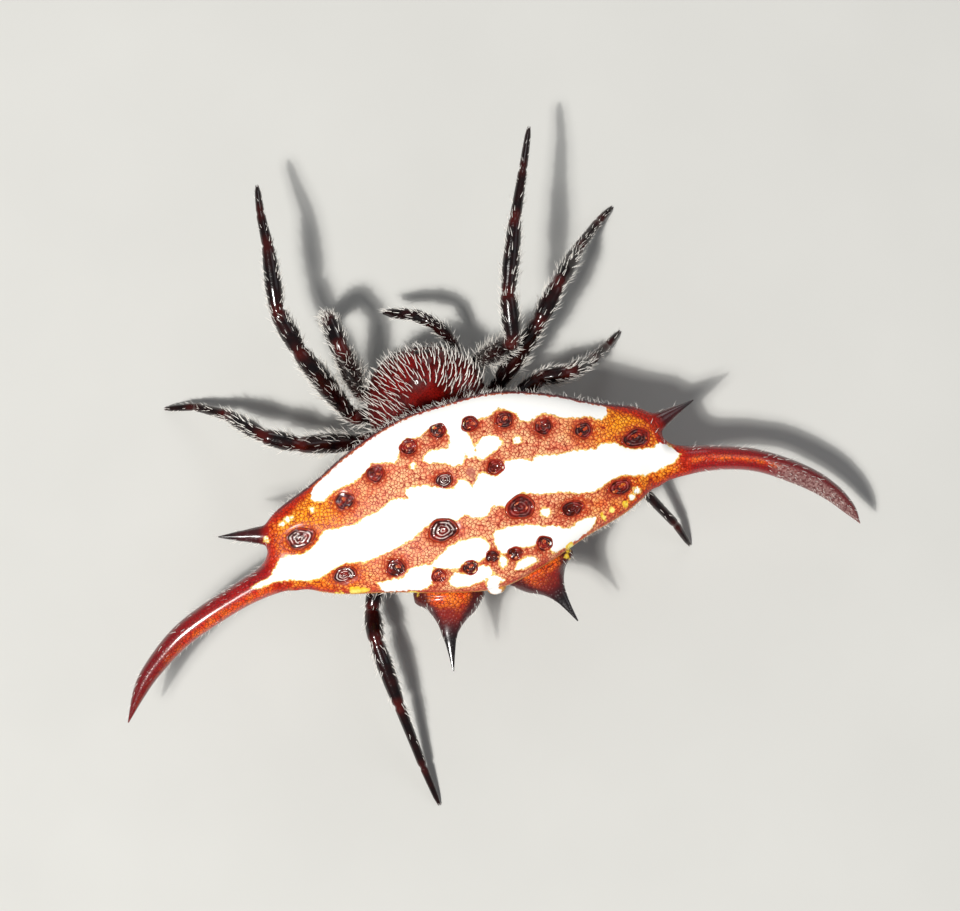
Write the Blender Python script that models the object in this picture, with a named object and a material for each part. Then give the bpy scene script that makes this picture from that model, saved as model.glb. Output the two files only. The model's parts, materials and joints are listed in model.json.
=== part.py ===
"""A female spiny orb weaver, life size, standing still.

+X is the spider's left, -Y is the way it faces, +Z is up, and its feet stand on z = 0.
All sizes are in millimetres. The finished meshes are turned into metres at the end,
because Blender's own tolerances suit sizes near one.
"""

import math

import bmesh
import bpy
import numpy as np
from mathutils import Matrix, Vector
from mathutils.bvhtree import BVHTree

MM = 0.001
GAP = 0.3
FOOTPRINT_MIDDLE = (0.50, -1.80)

# Abdomen: a spindle-shaped shield that runs on into a long curved horn at each end.
# Each station is the distance out from the middle, how far back the centre line lies,
# how far it sags, the half width, the height of the crown and the depth of the keel.
# The shield's right half is a little shorter, and the right horn is the blunter one.
SHIELD_HEIGHT = 4.2
SIDE_TILT = math.radians(4.5)
RIGHT_SHARE = 0.92
SHIELD = (
    (0.0, -0.78, 0.00, 3.02, 0.95, 3.05),
    (1.6, -0.88, 0.03, 2.84, 0.93, 2.75),
    (3.2, -0.89, 0.14, 2.36, 0.84, 2.15),
    (4.7, -0.73, 0.32, 1.83, 0.72, 1.45),
    (5.8, -0.73, 0.50, 1.39, 0.62, 0.95),
    (6.3, -0.56, 0.58, 1.16, 0.57, 0.78),
    (6.62, -0.10, 0.63, 0.60, 0.52, 0.58),
)
LEFT_HORN = (
    (7.72, 0.18, 0.78, 0.44, 0.45, 0.46),
    (9.00, 0.55, 1.02, 0.42, 0.42, 0.42),
    (10.06, 0.98, 1.28, 0.39, 0.39, 0.39),
    (11.11, 1.68, 1.64, 0.32, 0.32, 0.32),
    (11.69, 2.24, 1.86, 0.24, 0.24, 0.24),
    (12.29, 3.04, 2.16, 0.05, 0.05, 0.05),
)
RIGHT_HORN = (
    (7.40, 0.16, 0.74, 0.43, 0.43, 0.44),
    (8.71, 0.62, 0.96, 0.38, 0.38, 0.38),
    (9.94, 1.45, 1.30, 0.37, 0.37, 0.37),
    (10.68, 2.19, 1.58, 0.32, 0.32, 0.32),
    (11.12, 2.90, 1.82, 0.22, 0.22, 0.22),
    (11.31, 3.42, 1.98, 0.04, 0.04, 0.04),
)
HORN_FROM = 7.0
HORN_ROOT_PLACE = 0.58
SHOULDER_LENGTH = 1.6
END_SPREAD = 0.25
RING_SIDES = 24
BELLY_BACK = 0.30
SHIELD_ROUNDNESS = 2.3

# Sigilla: the little hard discs on the shield, as distance out, distance back, half size
# along X and half size along Y. Those off the middle line are there on both sides.
SIGILLA = (
    (0.50, -2.91, 0.31, 0.31),
    (1.53, -2.76, 0.32, 0.30),
    (2.70, -2.18, 0.33, 0.31),
    (3.86, -1.71, 0.31, 0.31),
    (5.42, -1.03, 0.44, 0.33),
    (0.84, -1.45, 0.27, 0.27),
    (1.30, -0.04, 0.46, 0.38),
    (4.55, 0.32, 0.40, 0.26),
    (2.85, 0.58, 0.38, 0.30),
    (1.70, 1.25, 0.26, 0.25),
    (0.78, 1.33, 0.24, 0.24),
    (0.00, 1.23, 0.22, 0.22),
)
SIGILLUM_LIFT = 0.09
SIGILLUM_SIDES = 9

# Spines: where each starts and ends, and its girth along the way as a share of the base.
FRONT_SPINE = ((6.20, -1.26, -0.52), (6.90, -1.46, -0.56), (7.98, -1.72, -0.64))
REAR_SPINES = {
    "left": ((1.48, 1.25, -0.56), (1.66, 2.35, -0.56), (1.92, 3.10, -0.58), (2.14, 4.30, -0.64)),
    "right": ((1.34, 1.30, -0.56), (1.52, 2.25, -0.56), (1.86, 3.05, -0.58), (2.17, 3.87, -0.62)),
}
FRONT_SPINE_GIRTH = ((0.0, 0.36), (0.30, 0.32), (0.50, 0.22), (0.8, 0.10), (1.0, 0.03))
REAR_SPINE_GIRTH = (
    (0.0, 1.22), (0.275, 1.14), (0.375, 0.86), (0.485, 0.54), (0.60, 0.32), (0.71, 0.20),
    (0.85, 0.11), (1.0, 0.03)
)
REAR_SPINE_FLATNESS = 0.5

# Prosoma: its middle, its heading and the sections of the carapace, each the distance
# ahead of the middle, the half width, the arch and the hump of the head above the rim.
PROSOMA = (0.62, -4.00)
HEADING = math.radians(10)
RIM_HEIGHT = 2.05
CARAPACE = (
    (1.72, 0.42, 0.42, 0.06),
    (1.65, 0.68, 0.62, 0.14),
    (1.42, 1.13, 0.76, 0.30),
    (1.00, 1.54, 0.84, 0.42),
    (0.50, 1.77, 0.86, 0.40),
    (0.00, 1.87, 0.84, 0.22),
    (-0.45, 1.87, 0.76, 0.06),
    (-0.90, 1.72, 0.60, 0.00),
    (-1.22, 1.32, 0.40, 0.00),
    (-1.44, 0.80, 0.24, 0.00),
    (-1.50, 0.42, 0.12, 0.00),
)
HEAD_HALF_WIDTH = 0.85
CARAPACE_UNDERSIDE = 0.10
STERNUM_AHEAD = -0.45
STERNUM_SIZE = (0.92, 1.22)
STERNUM_HEIGHTS = ((0.98, 0.72), (1.06, 0.92), (1.30, 1.00), (1.54, 0.96), (1.64, 0.78))

# Legs: the root and the hip as (side, ahead) of the prosoma's middle, then the ends of
# femur, patella, tibia, metatarsus and tarsus as (x, y, z) in the model's own frame.
HIP_HEIGHTS = (1.30, 1.45)
LEGS = {
    "left_1": ((0.75, 0.30), (2.03, 0.40),
               (2.72, -6.30, 3.35), (2.83, -7.34, 2.75), (2.98, -7.20, 0.85),
               (2.92, -5.95, 0.30), (2.80, -5.20, 0.07)),
    "left_2": ((0.88, -0.25), (2.37, -0.27),
               (4.00, -6.56, 3.00), (4.31, -7.95, 3.40), (4.02, -9.99, 3.50),
               (3.97, -11.00, 3.15), (3.85, -11.80, 2.75)),
    "left_3": ((0.82, -0.80), (2.08, -1.06),
               (4.82, -3.78, 2.30), (5.80, -4.34, 2.40), (6.72, -5.30, 1.30),
               (7.65, -5.84, 0.50), (8.50, -6.02, 0.07)),
    "left_4": ((0.50, -1.25), (1.05, -2.00),
               (4.07, 1.77, 1.50), (4.21, 2.74, 1.85), (4.08, 4.87, 1.45),
               (3.90, 6.95, 0.55), (3.76, 8.17, 0.07)),
    "right_1": ((-0.75, 0.34), (-1.66, 1.04),
                (-2.48, -5.02, 4.00), (-2.72, -6.47, 4.20), (-3.58, -8.65, 3.80),
                (-4.24, -10.06, 3.25), (-4.76, -11.22, 2.60)),
    "right_2": ((-0.88, -0.26), (-2.12, 0.09),
                (-3.42, -5.40, 2.65), (-4.30, -6.34, 2.60), (-5.24, -7.26, 1.35),
                (-6.08, -7.90, 0.42), (-6.56, -8.19, 0.07)),
    "right_3": ((-0.82, -0.81), (-2.20, -0.68),
                (-2.95, -3.70, 2.05), (-3.90, -3.62, 2.15), (-4.65, -3.80, 1.15),
                (-5.25, -4.10, 0.45), (-5.72, -4.38, 0.07)),
    "right_4": ((-0.50, -1.25), (-1.38, -1.72),
                (-3.50, -0.72, 0.95), (-4.25, -0.42, 1.20), (-5.02, 0.42, 1.85),
                (-5.78, 1.85, 0.70), (-6.02, 2.56, 0.07)),
}
# Girth of a leg, as radii at shares of each segment: coxa, femur, patella, tibia,
# metatarsus and tarsus.
SEGMENT_GIRTH = (
    ((0.0, 0.24), (0.6, 0.27), (0.97, 0.27)),
    ((0.06, 0.30), (0.4, 0.36), (0.75, 0.34), (0.95, 0.29)),
    ((0.1, 0.30), (0.5, 0.32), (0.9, 0.29)),
    ((0.08, 0.28), (0.5, 0.30), (0.94, 0.25)),
    ((0.06, 0.245), (0.5, 0.25), (0.94, 0.24)),
    ((0.08, 0.23), (0.6, 0.19), (1.0, 0.12)),
)
LEG_SIDES = 10
PAIR_GIRTH = (1.0, 1.0, 0.95, 0.97)

# Palps and jaws, as (side, ahead, height) from the prosoma's middle on the ground.
PALPS = {
    "left": ((0.50, 0.70, 1.42), (0.80, 0.95, 1.50), (1.08, 1.14, 1.42), (1.16, 1.26, 0.98),
             (1.04, 1.30, 0.60), (0.80, 0.98, 0.38), (0.55, 0.55, 0.32)),
    "right": ((-0.48, 0.74, 1.45), (-0.78, 1.04, 1.55), (-1.06, 1.48, 1.53), (-0.82, 2.03, 1.88),
              (-0.40, 2.43, 2.28), (0.13, 2.71, 2.12), (1.05, 2.88, 1.62)),
}
PALP_GIRTH = ((0.0, 0.21), (0.3, 0.24), (0.6, 0.25), (0.85, 0.24), (1.0, 0.13))
JAW_PATH = ((0.40, 1.28, 2.40), (0.40, 1.44, 1.90), (0.40, 1.53, 1.35), (0.37, 1.53, 0.92),
            (0.25, 1.34, 0.70))
JAW_GIRTH = ((0.0, 0.27), (0.3, 0.31), (0.6, 0.30), (0.78, 0.23), (0.86, 0.12), (1.0, 0.05))

# Eyes: (side, height, radius), on the front of the head.
EYES = ((0.15, 2.62, 0.085), (0.14, 2.94, 0.095), (0.80, 2.44, 0.075), (0.90, 2.58, 0.07))

# Pedicel and spinnerets.
PEDICEL_PATH = ((0.82, -3.00, 2.02), (0.62, -2.30, 2.25), (0.42, -1.40, 2.85))
PEDICEL_RADIUS = 0.30
SPINNERETS_AT = (0.0, 0.30)
SPINNERETS = ((1.60, 0.50), (0.85, 0.48), (0.60, 0.40), (0.42, 0.24))

BLACK_BROWN = (0.030, 0.010, 0.010)
FINISHES = {
    "carapace": ((0.130, 0.012, 0.010), 0.30),
    "sternum": ((0.050, 0.015, 0.010), 0.35),
    "chelicera": ((0.090, 0.012, 0.010), 0.25),
    "palp": (BLACK_BROWN, 0.35),
    "leg": (BLACK_BROWN, 0.30),
    "pedicel": ((0.060, 0.015, 0.010), 0.40),
    "abdomen": ((0.820, 0.560, 0.420), 0.45),
    "horn": ((0.420, 0.020, 0.012), 0.25),
    "front_spine": ((0.080, 0.008, 0.008), 0.30),
    "rear_spine": ((0.280, 0.030, 0.015), 0.35),
    "spinnerets": ((0.100, 0.030, 0.015), 0.45),
}


def clear_scene():
    """Remove everything the new file came with."""
    for obj in list(bpy.data.objects):
        bpy.data.objects.remove(obj, do_unlink=True)


def finish_for(kind):
    """The plain material of one kind of part."""
    colour, roughness = FINISHES[kind]
    material = bpy.data.materials.new(kind)
    material.use_nodes = True
    shader = material.node_tree.nodes["Principled BSDF"]
    shader.inputs["Base Color"].default_value = (*colour, 1.0)
    shader.inputs["Roughness"].default_value = roughness
    shader.inputs["Metallic"].default_value = 0.0
    return material


def add_object(name, bm, kind=None):
    """Turn a bmesh into an object whose faces point out, with its own material."""
    bmesh.ops.recalc_face_normals(bm, faces=bm.faces)
    bmesh.ops.triangulate(bm, faces=bm.faces)
    mesh = bpy.data.meshes.new(name)
    bm.to_mesh(mesh)
    bm.free()
    obj = bpy.data.objects.new(name, mesh)
    bpy.context.scene.collection.objects.link(obj)
    if kind:
        mesh.materials.append(finish_for(kind))
    return obj


def curve_row(rows, place):
    """The row at a fractional place in a list, on a smooth curve through all its rows."""
    rows = np.asarray(rows, float)
    last = len(rows) - 1
    i = min(int(place), last - 1)
    u = place - i
    here = rows[i]
    there = rows[i + 1]
    before = rows[i - 1] if i > 0 else 2 * here - there
    after = rows[i + 2] if i + 2 <= last else 2 * there - here
    line = 2 * here + (there - before) * u
    bend = (2 * before - 5 * here + 4 * there - after) * u**2
    twist = (3 * here - before - 3 * there + after) * u**3
    return 0.5 * (line + bend + twist)


def loft(rings):
    """A closed surface over rings with the same number of points, flat at both ends."""
    bm = bmesh.new()
    loops = [[bm.verts.new(Vector(point)) for point in ring] for ring in rings]
    for low, high in zip(loops, loops[1:]):
        for j, corner in enumerate(low):
            k = (j + 1) % len(low)
            bm.faces.new((corner, low[k], high[k], high[j]))
    bm.faces.new(loops[0])
    bm.faces.new(loops[-1])
    return bm


def round_corners(path, girth):
    """Points along a path with its corners rounded, each with its share of the length."""
    points = [Vector(p) for p in path]
    lengths = [(b - a).length for a, b in zip(points, points[1:])]
    starts = np.concatenate(([0.0], np.cumsum(lengths)))
    whole = starts[-1]
    placed = [(points[0], 0.0)]
    for i in range(1, len(points) - 1):
        back = (points[i - 1] - points[i]).normalized()
        on = (points[i + 1] - points[i]).normalized()
        turn = math.pi - back.angle(on)
        reach = min(1.5 * girth(starts[i] / whole) * math.tan(turn / 2) + 0.02,
                    0.42 * min(lengths[i - 1], lengths[i]))
        first = points[i] + back * reach
        last = points[i] + on * reach
        steps = max(2, round(math.degrees(turn) / 22))
        for k in range(steps + 1):
            u = k / steps
            at = first * (1 - u) ** 2 + points[i] * 2 * u * (1 - u) + last * u**2
            placed.append((at, (starts[i] + reach * (2 * u - 1)) / whole))
    placed.append((points[-1], 1.0))
    return placed


def add_middles(placed, longest):
    """More points where two neighbours stand further apart than the longest step."""
    filled = [placed[0]]
    for (a, share_a), (b, share_b) in zip(placed, placed[1:]):
        parts = max(1, math.ceil((b - a).length / longest))
        for k in range(1, parts + 1):
            u = k / parts
            filled.append((a.lerp(b, u), share_a + (share_b - share_a) * u))
    return filled


def tube_rings(path, girth, sides, longest=0.9, flatness=1.0):
    """Rings of a round limb along a path, turned as little as they can be from one to the next."""
    placed = add_middles(round_corners(path, girth), longest)
    points = [p for p, _ in placed]
    side = None
    rings = []
    for i, (at, share) in enumerate(placed):
        ahead = (points[min(i + 1, len(points) - 1)] - points[max(i - 1, 0)]).normalized()
        if side is None:
            start = Vector((1, 0, 0)) if abs(ahead.z) > 0.9 else Vector((0, 0, 1))
            side = ahead.cross(start).normalized()
        side = (side - ahead * side.dot(ahead)).normalized()
        other = ahead.cross(side)
        radius = girth(share)
        rings.append([
            at + side * (radius * math.cos(a)) + other * (radius * flatness * math.sin(a))
            for a in (2 * math.pi * j / sides for j in range(sides))
        ])
    return rings


def girth_curve(stops):
    """A function from share of length to radius, straight between its stops."""
    shares = [s for s, _ in stops]
    radii = [r for _, r in stops]
    return lambda share: float(np.interp(share, shares, radii))


def combine(target, others, operation):
    """Join other closed meshes to an object, or cut them from it, and remove them."""
    group = bpy.data.collections.new("tools")
    for other in others:
        group.objects.link(other)
    modifier = target.modifiers.new("combine", "BOOLEAN")
    modifier.operation = operation
    modifier.operand_type = "COLLECTION"
    modifier.collection = group
    modifier.solver = "EXACT"
    graph = bpy.context.evaluated_depsgraph_get()
    joined = bpy.data.meshes.new_from_object(target.evaluated_get(graph))
    target.modifiers.clear()
    target.data = joined
    for other in others:
        bpy.data.objects.remove(other, do_unlink=True)
    bpy.data.collections.remove(group)
    keep_largest(target)


def keep_largest(obj):
    """Keep the one closed surface that holds the most, and drop any scrap."""
    bm = bmesh.new()
    bm.from_mesh(obj.data)
    bmesh.ops.triangulate(bm, faces=bm.faces)
    waiting = set(bm.faces)
    pieces = []
    while waiting:
        piece = {waiting.pop()}
        edge_of = list(piece)
        while edge_of:
            face = edge_of.pop()
            for edge in face.edges:
                for near in edge.link_faces:
                    if near in waiting:
                        waiting.remove(near)
                        piece.add(near)
                        edge_of.append(near)
        pieces.append(piece)
    pieces.sort(key=lambda faces: abs(enclosed(faces)), reverse=True)
    scraps = [face for piece in pieces[1:] for face in piece]
    bmesh.ops.delete(bm, geom=scraps, context="FACES")
    bm.to_mesh(obj.data)
    bm.free()


def enclosed(faces):
    """The signed volume inside a set of triangles."""
    return sum(
        f.verts[0].co.dot(f.verts[1].co.cross(f.verts[2].co)) for f in faces
    ) / 6


def stand_flat(obj):
    """Cut what reaches below the ground off flat."""
    bm = bmesh.new()
    bm.from_mesh(obj.data)
    everything = list(bm.verts) + list(bm.edges) + list(bm.faces)
    bmesh.ops.bisect_plane(
        bm, geom=everything, dist=1e-5, plane_co=(0, 0, 0), plane_no=(0, 0, -1), clear_outer=True
    )
    rim = [edge for edge in bm.edges if edge.is_boundary]
    if rim:
        bmesh.ops.holes_fill(bm, edges=rim)
    bmesh.ops.triangulate(bm, faces=bm.faces)
    bmesh.ops.recalc_face_normals(bm, faces=bm.faces)
    bm.to_mesh(obj.data)
    bm.free()


def station_at(place):
    """The abdomen's centre, half width, crown and keel at a place from -1 to 1, tip to tip."""
    right_shield = [(row[0] * RIGHT_SHARE, *row[1:]) for row in SHIELD[1:]]
    right = [(-row[0], *row[1:]) for row in reversed(right_shield + list(RIGHT_HORN))]
    rows = right + list(SHIELD) + list(LEFT_HORN)
    out, back, sag, width, crown, keel = curve_row(rows, (place + 1) * len(right))
    height = SHIELD_HEIGHT - sag + out * math.tan(SIDE_TILT)
    return Vector((out, back, height)), width, crown, keel


def place_of(out):
    """The place along the abdomen whose station lies this far out."""
    places = np.linspace(-1, 1, 801)
    outs = [station_at(p)[0].x for p in places]
    return float(np.interp(out, outs, places))


def keel_share(across, shield):
    """How deep the underside is at a share across, deepest a little behind the middle."""
    if across < BELLY_BACK:
        slope = 1 - ((BELLY_BACK - across) / (1 + BELLY_BACK)) ** 1.25
    else:
        slope = 1 - ((across - BELLY_BACK) / (1 - BELLY_BACK)) ** 2.2
    rounded = math.sqrt(max(0.0, 1 - across * across))
    return shield * slope + (1 - shield) * rounded


def along_at(place):
    """The direction of the abdomen's centre line at a place."""
    step = 0.01
    return (station_at(min(place + step, 1))[0] - station_at(max(place - step, -1))[0]).normalized()


def abdomen_ring(place, grow=0.0):
    """One section of the abdomen, straight across the shield and square to a horn."""
    centre = station_at(place)[0]
    width, crown, keel = station_at(place * (1 - END_SPREAD * grow))[1:]
    along = along_at(place)
    horn = along_at(math.copysign(max(abs(place), HORN_ROOT_PLACE), place))
    reach = abs(centre.x) / (1.0 if centre.x > 0 else RIGHT_SHARE)
    shield = min(1.0, max(0.0, (HORN_FROM - reach) / SHOULDER_LENGTH))
    square = Vector((-horn.y, horn.x, 0)).normalized()
    back = square.lerp(Vector((0, 1, 0)), shield).normalized()
    up = along.cross(back).normalized()
    power = 2 / (2 + (SHIELD_ROUNDNESS - 2) * shield)
    ring = []
    for j in range(RING_SIDES):
        angle = 2 * math.pi * j / RING_SIDES
        across = math.copysign(abs(math.cos(angle)) ** power, math.cos(angle))
        if math.sin(angle) >= 0:
            rise = (crown + grow) * math.sin(angle) ** power
        else:
            rise = -(keel + grow) * keel_share(across, shield)
        ring.append(centre + back * (across * (width + grow)) + up * rise)
    return ring


def abdomen_stretch(first, last, steps, grow=0.0):
    """The abdomen or a horn between two places along the centre line."""
    return loft([abdomen_ring(p, grow) for p in np.linspace(first, last, steps + 1)])


def sigillum(surface, out, back, size):
    """A small disc with a raised rim and a sunken middle, set on the shield."""
    found, normal, _, _ = surface.ray_cast(Vector((out, back, 20)), Vector((0, 0, -1)))
    along = Vector((1, 0, 0))
    along = (along - normal * along.dot(normal)).normalized()
    across = normal.cross(along)
    levels = ((0.98, -0.35), (1.0, 0.25), (0.82, 1.0), (0.55, 0.9), (0.35, 0.2))
    rings = []
    for share, lift in levels:
        rings.append([
            found + normal * (SIGILLUM_LIFT * lift)
            + along * (size[0] * share * math.cos(a)) + across * (size[1] * share * math.sin(a))
            for a in (2 * math.pi * j / SIGILLUM_SIDES for j in range(SIGILLUM_SIDES))
        ])
    return add_object("sigillum", loft(rings))


def make_abdomen():
    """The shield between the two horns, with its sigilla raised on it."""
    left = place_of(HORN_FROM)
    right = place_of(-HORN_FROM * RIGHT_SHARE)
    body = add_object("abdomen", abdomen_stretch(right, left, 32), "abdomen")
    surface = surface_of(body)
    discs = []
    for out, back, half_x, half_y in SIGILLA:
        for side in (1, -1) if out else (1,):
            share = 1.0 if side > 0 else RIGHT_SHARE
            discs.append(sigillum(surface, side * out * share, back, (half_x, half_y)))
    combine(body, discs, "UNION")


def surface_of(obj):
    """A tree of an object's faces, to find where a line meets it."""
    return BVHTree.FromObject(obj, bpy.context.evaluated_depsgraph_get())


def make_horns():
    """Each horn carries on the abdomen's own shape past a thin flat gap."""
    along = {"left": 1, "right": -1}
    for name, side in along.items():
        share = 1.0 if side > 0 else RIGHT_SHARE
        start = place_of(side * (HORN_FROM + GAP) * share)
        add_object(f"horn_{name}", abdomen_stretch(*sorted((start, side)), 12), "horn")


def grown_abdomen():
    """The abdomen with the gap added all round, as a cutter."""
    return add_object("grown abdomen", abdomen_stretch(-0.62, 0.62, 30, GAP))


def on_shield(out, back, rise, side):
    """A point given from the shield's rim at the middle, on either side."""
    share = 1.0 if side > 0 else RIGHT_SHARE
    x = side * out * share
    return Vector((x, back, SHIELD_HEIGHT + rise + x * math.tan(SIDE_TILT)))


def make_spines():
    """Two spines at the front corners and two broad-based ones at the rear."""
    front_spines = {"left": FRONT_SPINE, "right": FRONT_SPINE}
    kinds = (
        ("front_spine", front_spines, FRONT_SPINE_GIRTH, 1.0),
        ("rear_spine", REAR_SPINES, REAR_SPINE_GIRTH, REAR_SPINE_FLATNESS),
    )
    for kind, paths, stops, flatness in kinds:
        for name, side in (("left", 1), ("right", -1)):
            path = [on_shield(*end, side) for end in paths[name]]
            rings = tube_rings(path, girth_curve(stops), 14, 0.2, flatness)
            spine = add_object(f"{kind}_{name}", loft(rings), kind)
            combine(spine, [grown_abdomen()], "DIFFERENCE")


def from_prosoma(side, ahead, height):
    """A point given from the prosoma's middle, with the ground at height 0."""
    return Vector((
        PROSOMA[0] + side * math.cos(HEADING) - ahead * math.sin(HEADING),
        PROSOMA[1] - side * math.sin(HEADING) - ahead * math.cos(HEADING),
        height,
    ))


def carapace_rings(grow=0.0):
    """Sections of the carapace from the face to the waist."""
    rings = []
    sides = 24
    last = len(CARAPACE) - 1
    for place in np.linspace(0, last, 2 * last + 1):
        ahead, width, arch, hump = curve_row(CARAPACE, place)
        ahead *= 1 + grow / CARAPACE[0][0]
        ring = []
        for j in range(sides):
            angle = 2 * math.pi * j / sides
            side = (width + grow) * math.cos(angle)
            if math.sin(angle) >= 0:
                head = hump * math.exp(-((side / HEAD_HALF_WIDTH) ** 4))
                rise = (arch + head + grow) * math.sin(angle)
            else:
                rise = (CARAPACE_UNDERSIDE + grow) * math.sin(angle)
            ring.append(from_prosoma(side, ahead, RIM_HEIGHT + rise))
        rings.append(ring)
    return rings


def make_carapace():
    """The carapace, with the eight eyes as small domes on the head."""
    shell = add_object("carapace", loft(carapace_rings()), "carapace")
    surface = surface_of(shell)
    domes = []
    for side, height, radius in EYES:
        for sign in (1, -1):
            start = from_prosoma(sign * side, 4, height)
            ray = from_prosoma(0, -1, 0) - from_prosoma(0, 0, 0)
            found = surface.ray_cast(start, ray)[0]
            bm = bmesh.new()
            bmesh.ops.create_uvsphere(
                bm, u_segments=8, v_segments=5, radius=radius, matrix=Matrix.Translation(found)
            )
            domes.append(add_object("eye", bm))
    combine(shell, domes, "UNION")


def sternum_rings(grow=0.0):
    """Flat slices of the heart-shaped plate between the hips."""
    rings = []
    sides = 24
    for i, (height, share) in enumerate(STERNUM_HEIGHTS):
        edge = grow if i in (0, len(STERNUM_HEIGHTS) - 1) else 0.0
        lift = edge if i else -edge
        ring = []
        for j in range(sides):
            angle = 2 * math.pi * j / sides
            ahead = math.sin(angle)
            side = math.cos(angle) * (1 + 0.18 * ahead)
            ring.append(from_prosoma(
                side * (STERNUM_SIZE[0] * share + grow),
                STERNUM_AHEAD + ahead * (STERNUM_SIZE[1] * share + grow),
                height + lift,
            ))
        rings.append(ring)
    return rings


def grown_sternum():
    """The sternum with the gap added all round, as a cutter."""
    return add_object("grown sternum", loft(sternum_rings(GAP)))


def grown_carapace():
    """The carapace with the gap added all round, as a cutter."""
    return add_object("grown carapace", loft(carapace_rings(GAP)))


def leg_girth(path, share_of_size):
    """The radius along a whole leg, from the girth of each of its segments."""
    lengths = [(Vector(b) - Vector(a)).length for a, b in zip(path, path[1:])]
    starts = np.concatenate(([0.0], np.cumsum(lengths)))
    stops = []
    for start, length, girths in zip(starts, lengths, SEGMENT_GIRTH):
        stops += [((start + length * s) / starts[-1], r * share_of_size) for s, r in girths]
    return girth_curve(stops)


def make_legs():
    """Eight legs, each one limb from the sternum's edge to its foot."""
    for name, (root, hip, *joints) in LEGS.items():
        path = [from_prosoma(*root, HIP_HEIGHTS[0]), from_prosoma(*hip, HIP_HEIGHTS[1])]
        path += [Vector(joint) for joint in joints]
        inward = (path[0] - path[1]).normalized() * 0.5
        path[0] = path[0] + Vector((inward.x, inward.y, 0))
        girth = leg_girth(path, PAIR_GIRTH[int(name[-1]) - 1])
        leg = add_object(f"leg_{name}", loft(tube_rings(path, girth, LEG_SIDES)), "leg")
        combine(leg, [grown_sternum()], "DIFFERENCE")
        stand_flat(leg)


def make_mouth():
    """The two jaws under the face, with their fangs, and the two palps beside them."""
    for name, sign in (("left", 1), ("right", -1)):
        path = [from_prosoma(sign * side, ahead, height) for side, ahead, height in JAW_PATH]
        jaw = add_object(f"chelicera_{name}", loft(tube_rings(path, girth_curve(JAW_GIRTH), 12, 0.35)),
                         "chelicera")
        combine(jaw, [grown_carapace()], "DIFFERENCE")
        path = [from_prosoma(*point) for point in PALPS[name]]
        palp = add_object(f"palp_{name}", loft(tube_rings(path, girth_curve(PALP_GIRTH), LEG_SIDES, 0.6)),
                          "palp")
        combine(palp, [grown_sternum()], "DIFFERENCE")


def make_waist_and_spinnerets():
    """The narrow waist between the two halves, and the cone of spinnerets below."""
    rings = tube_rings(PEDICEL_PATH, lambda share: PEDICEL_RADIUS, 12, 0.3)
    waist = add_object("pedicel", loft(rings), "pedicel")
    combine(waist, [grown_carapace(), grown_abdomen()], "DIFFERENCE")
    x, y = SPINNERETS_AT
    rings = []
    for height, radius in SPINNERETS:
        angles = [2 * math.pi * j / 14 for j in range(14)]
        rings.append([(x + radius * math.cos(a), y + radius * math.sin(a), height) for a in angles])
    cone = add_object("spinnerets", loft(rings), "spinnerets")
    combine(cone, [grown_abdomen()], "DIFFERENCE")


def to_metres():
    """Put the middle of the footprint at the origin, in metres, with smooth shading."""
    move = Matrix.Translation((-FOOTPRINT_MIDDLE[0], -FOOTPRINT_MIDDLE[1], 0))
    for obj in bpy.data.objects:
        obj.data.transform(Matrix.Scale(MM, 4) @ move)
        obj.data.shade_smooth()
        obj.data.set_sharp_from_angle(angle=math.radians(50))


def main():
    clear_scene()
    make_abdomen()
    make_horns()
    make_spines()
    make_carapace()
    add_object("sternum", loft(sternum_rings()), "sternum")
    make_legs()
    make_mouth()
    make_waist_and_spinnerets()
    to_metres()


main()
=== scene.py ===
# %% [markdown]
# # A spiny orb weaver, life size
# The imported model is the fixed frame: its solids say where each part of the spider stands.
# This script dresses them with finer shapes, hair, colour and gloss, and adds floor, light
# and camera. The model's lengths are metres, and a spider is small, so every number below
# is in millimetres and is turned into metres in one place.

# %% Load the frame
import json
import math

import bpy
import numpy as np
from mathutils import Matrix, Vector
from mathutils.bvhtree import BVHTree

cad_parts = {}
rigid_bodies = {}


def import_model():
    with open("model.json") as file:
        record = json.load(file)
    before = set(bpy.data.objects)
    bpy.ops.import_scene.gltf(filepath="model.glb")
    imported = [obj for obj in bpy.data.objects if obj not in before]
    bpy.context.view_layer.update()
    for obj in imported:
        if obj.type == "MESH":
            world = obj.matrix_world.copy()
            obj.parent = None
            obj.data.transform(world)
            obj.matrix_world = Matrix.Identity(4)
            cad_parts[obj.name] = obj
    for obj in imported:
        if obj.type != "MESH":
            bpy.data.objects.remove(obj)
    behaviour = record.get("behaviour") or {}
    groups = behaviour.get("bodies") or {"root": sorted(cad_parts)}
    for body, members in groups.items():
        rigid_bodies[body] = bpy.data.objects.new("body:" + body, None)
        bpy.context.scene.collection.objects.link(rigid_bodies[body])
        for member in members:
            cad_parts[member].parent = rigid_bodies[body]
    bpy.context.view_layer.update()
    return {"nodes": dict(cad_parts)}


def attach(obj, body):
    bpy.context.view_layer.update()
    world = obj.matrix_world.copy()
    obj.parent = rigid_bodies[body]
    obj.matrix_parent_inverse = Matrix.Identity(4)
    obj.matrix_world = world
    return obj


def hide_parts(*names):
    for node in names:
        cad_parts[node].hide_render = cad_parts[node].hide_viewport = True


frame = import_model()
MM = 0.001
NODES = sorted(frame["nodes"])
print("nodes in the frame:", len(NODES))

# %% [markdown]
# ## Where things are
# The spider was measured in its own frame: +X is its left, -Y the way it faces, and the
# floor is at height 0. Its footprint's middle was moved to the origin for the model, so the
# same small shift brings a measured point to its place.

# %% From measured millimetres to the model
FOOTPRINT_MIDDLE = (0.50, -1.80)


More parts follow.
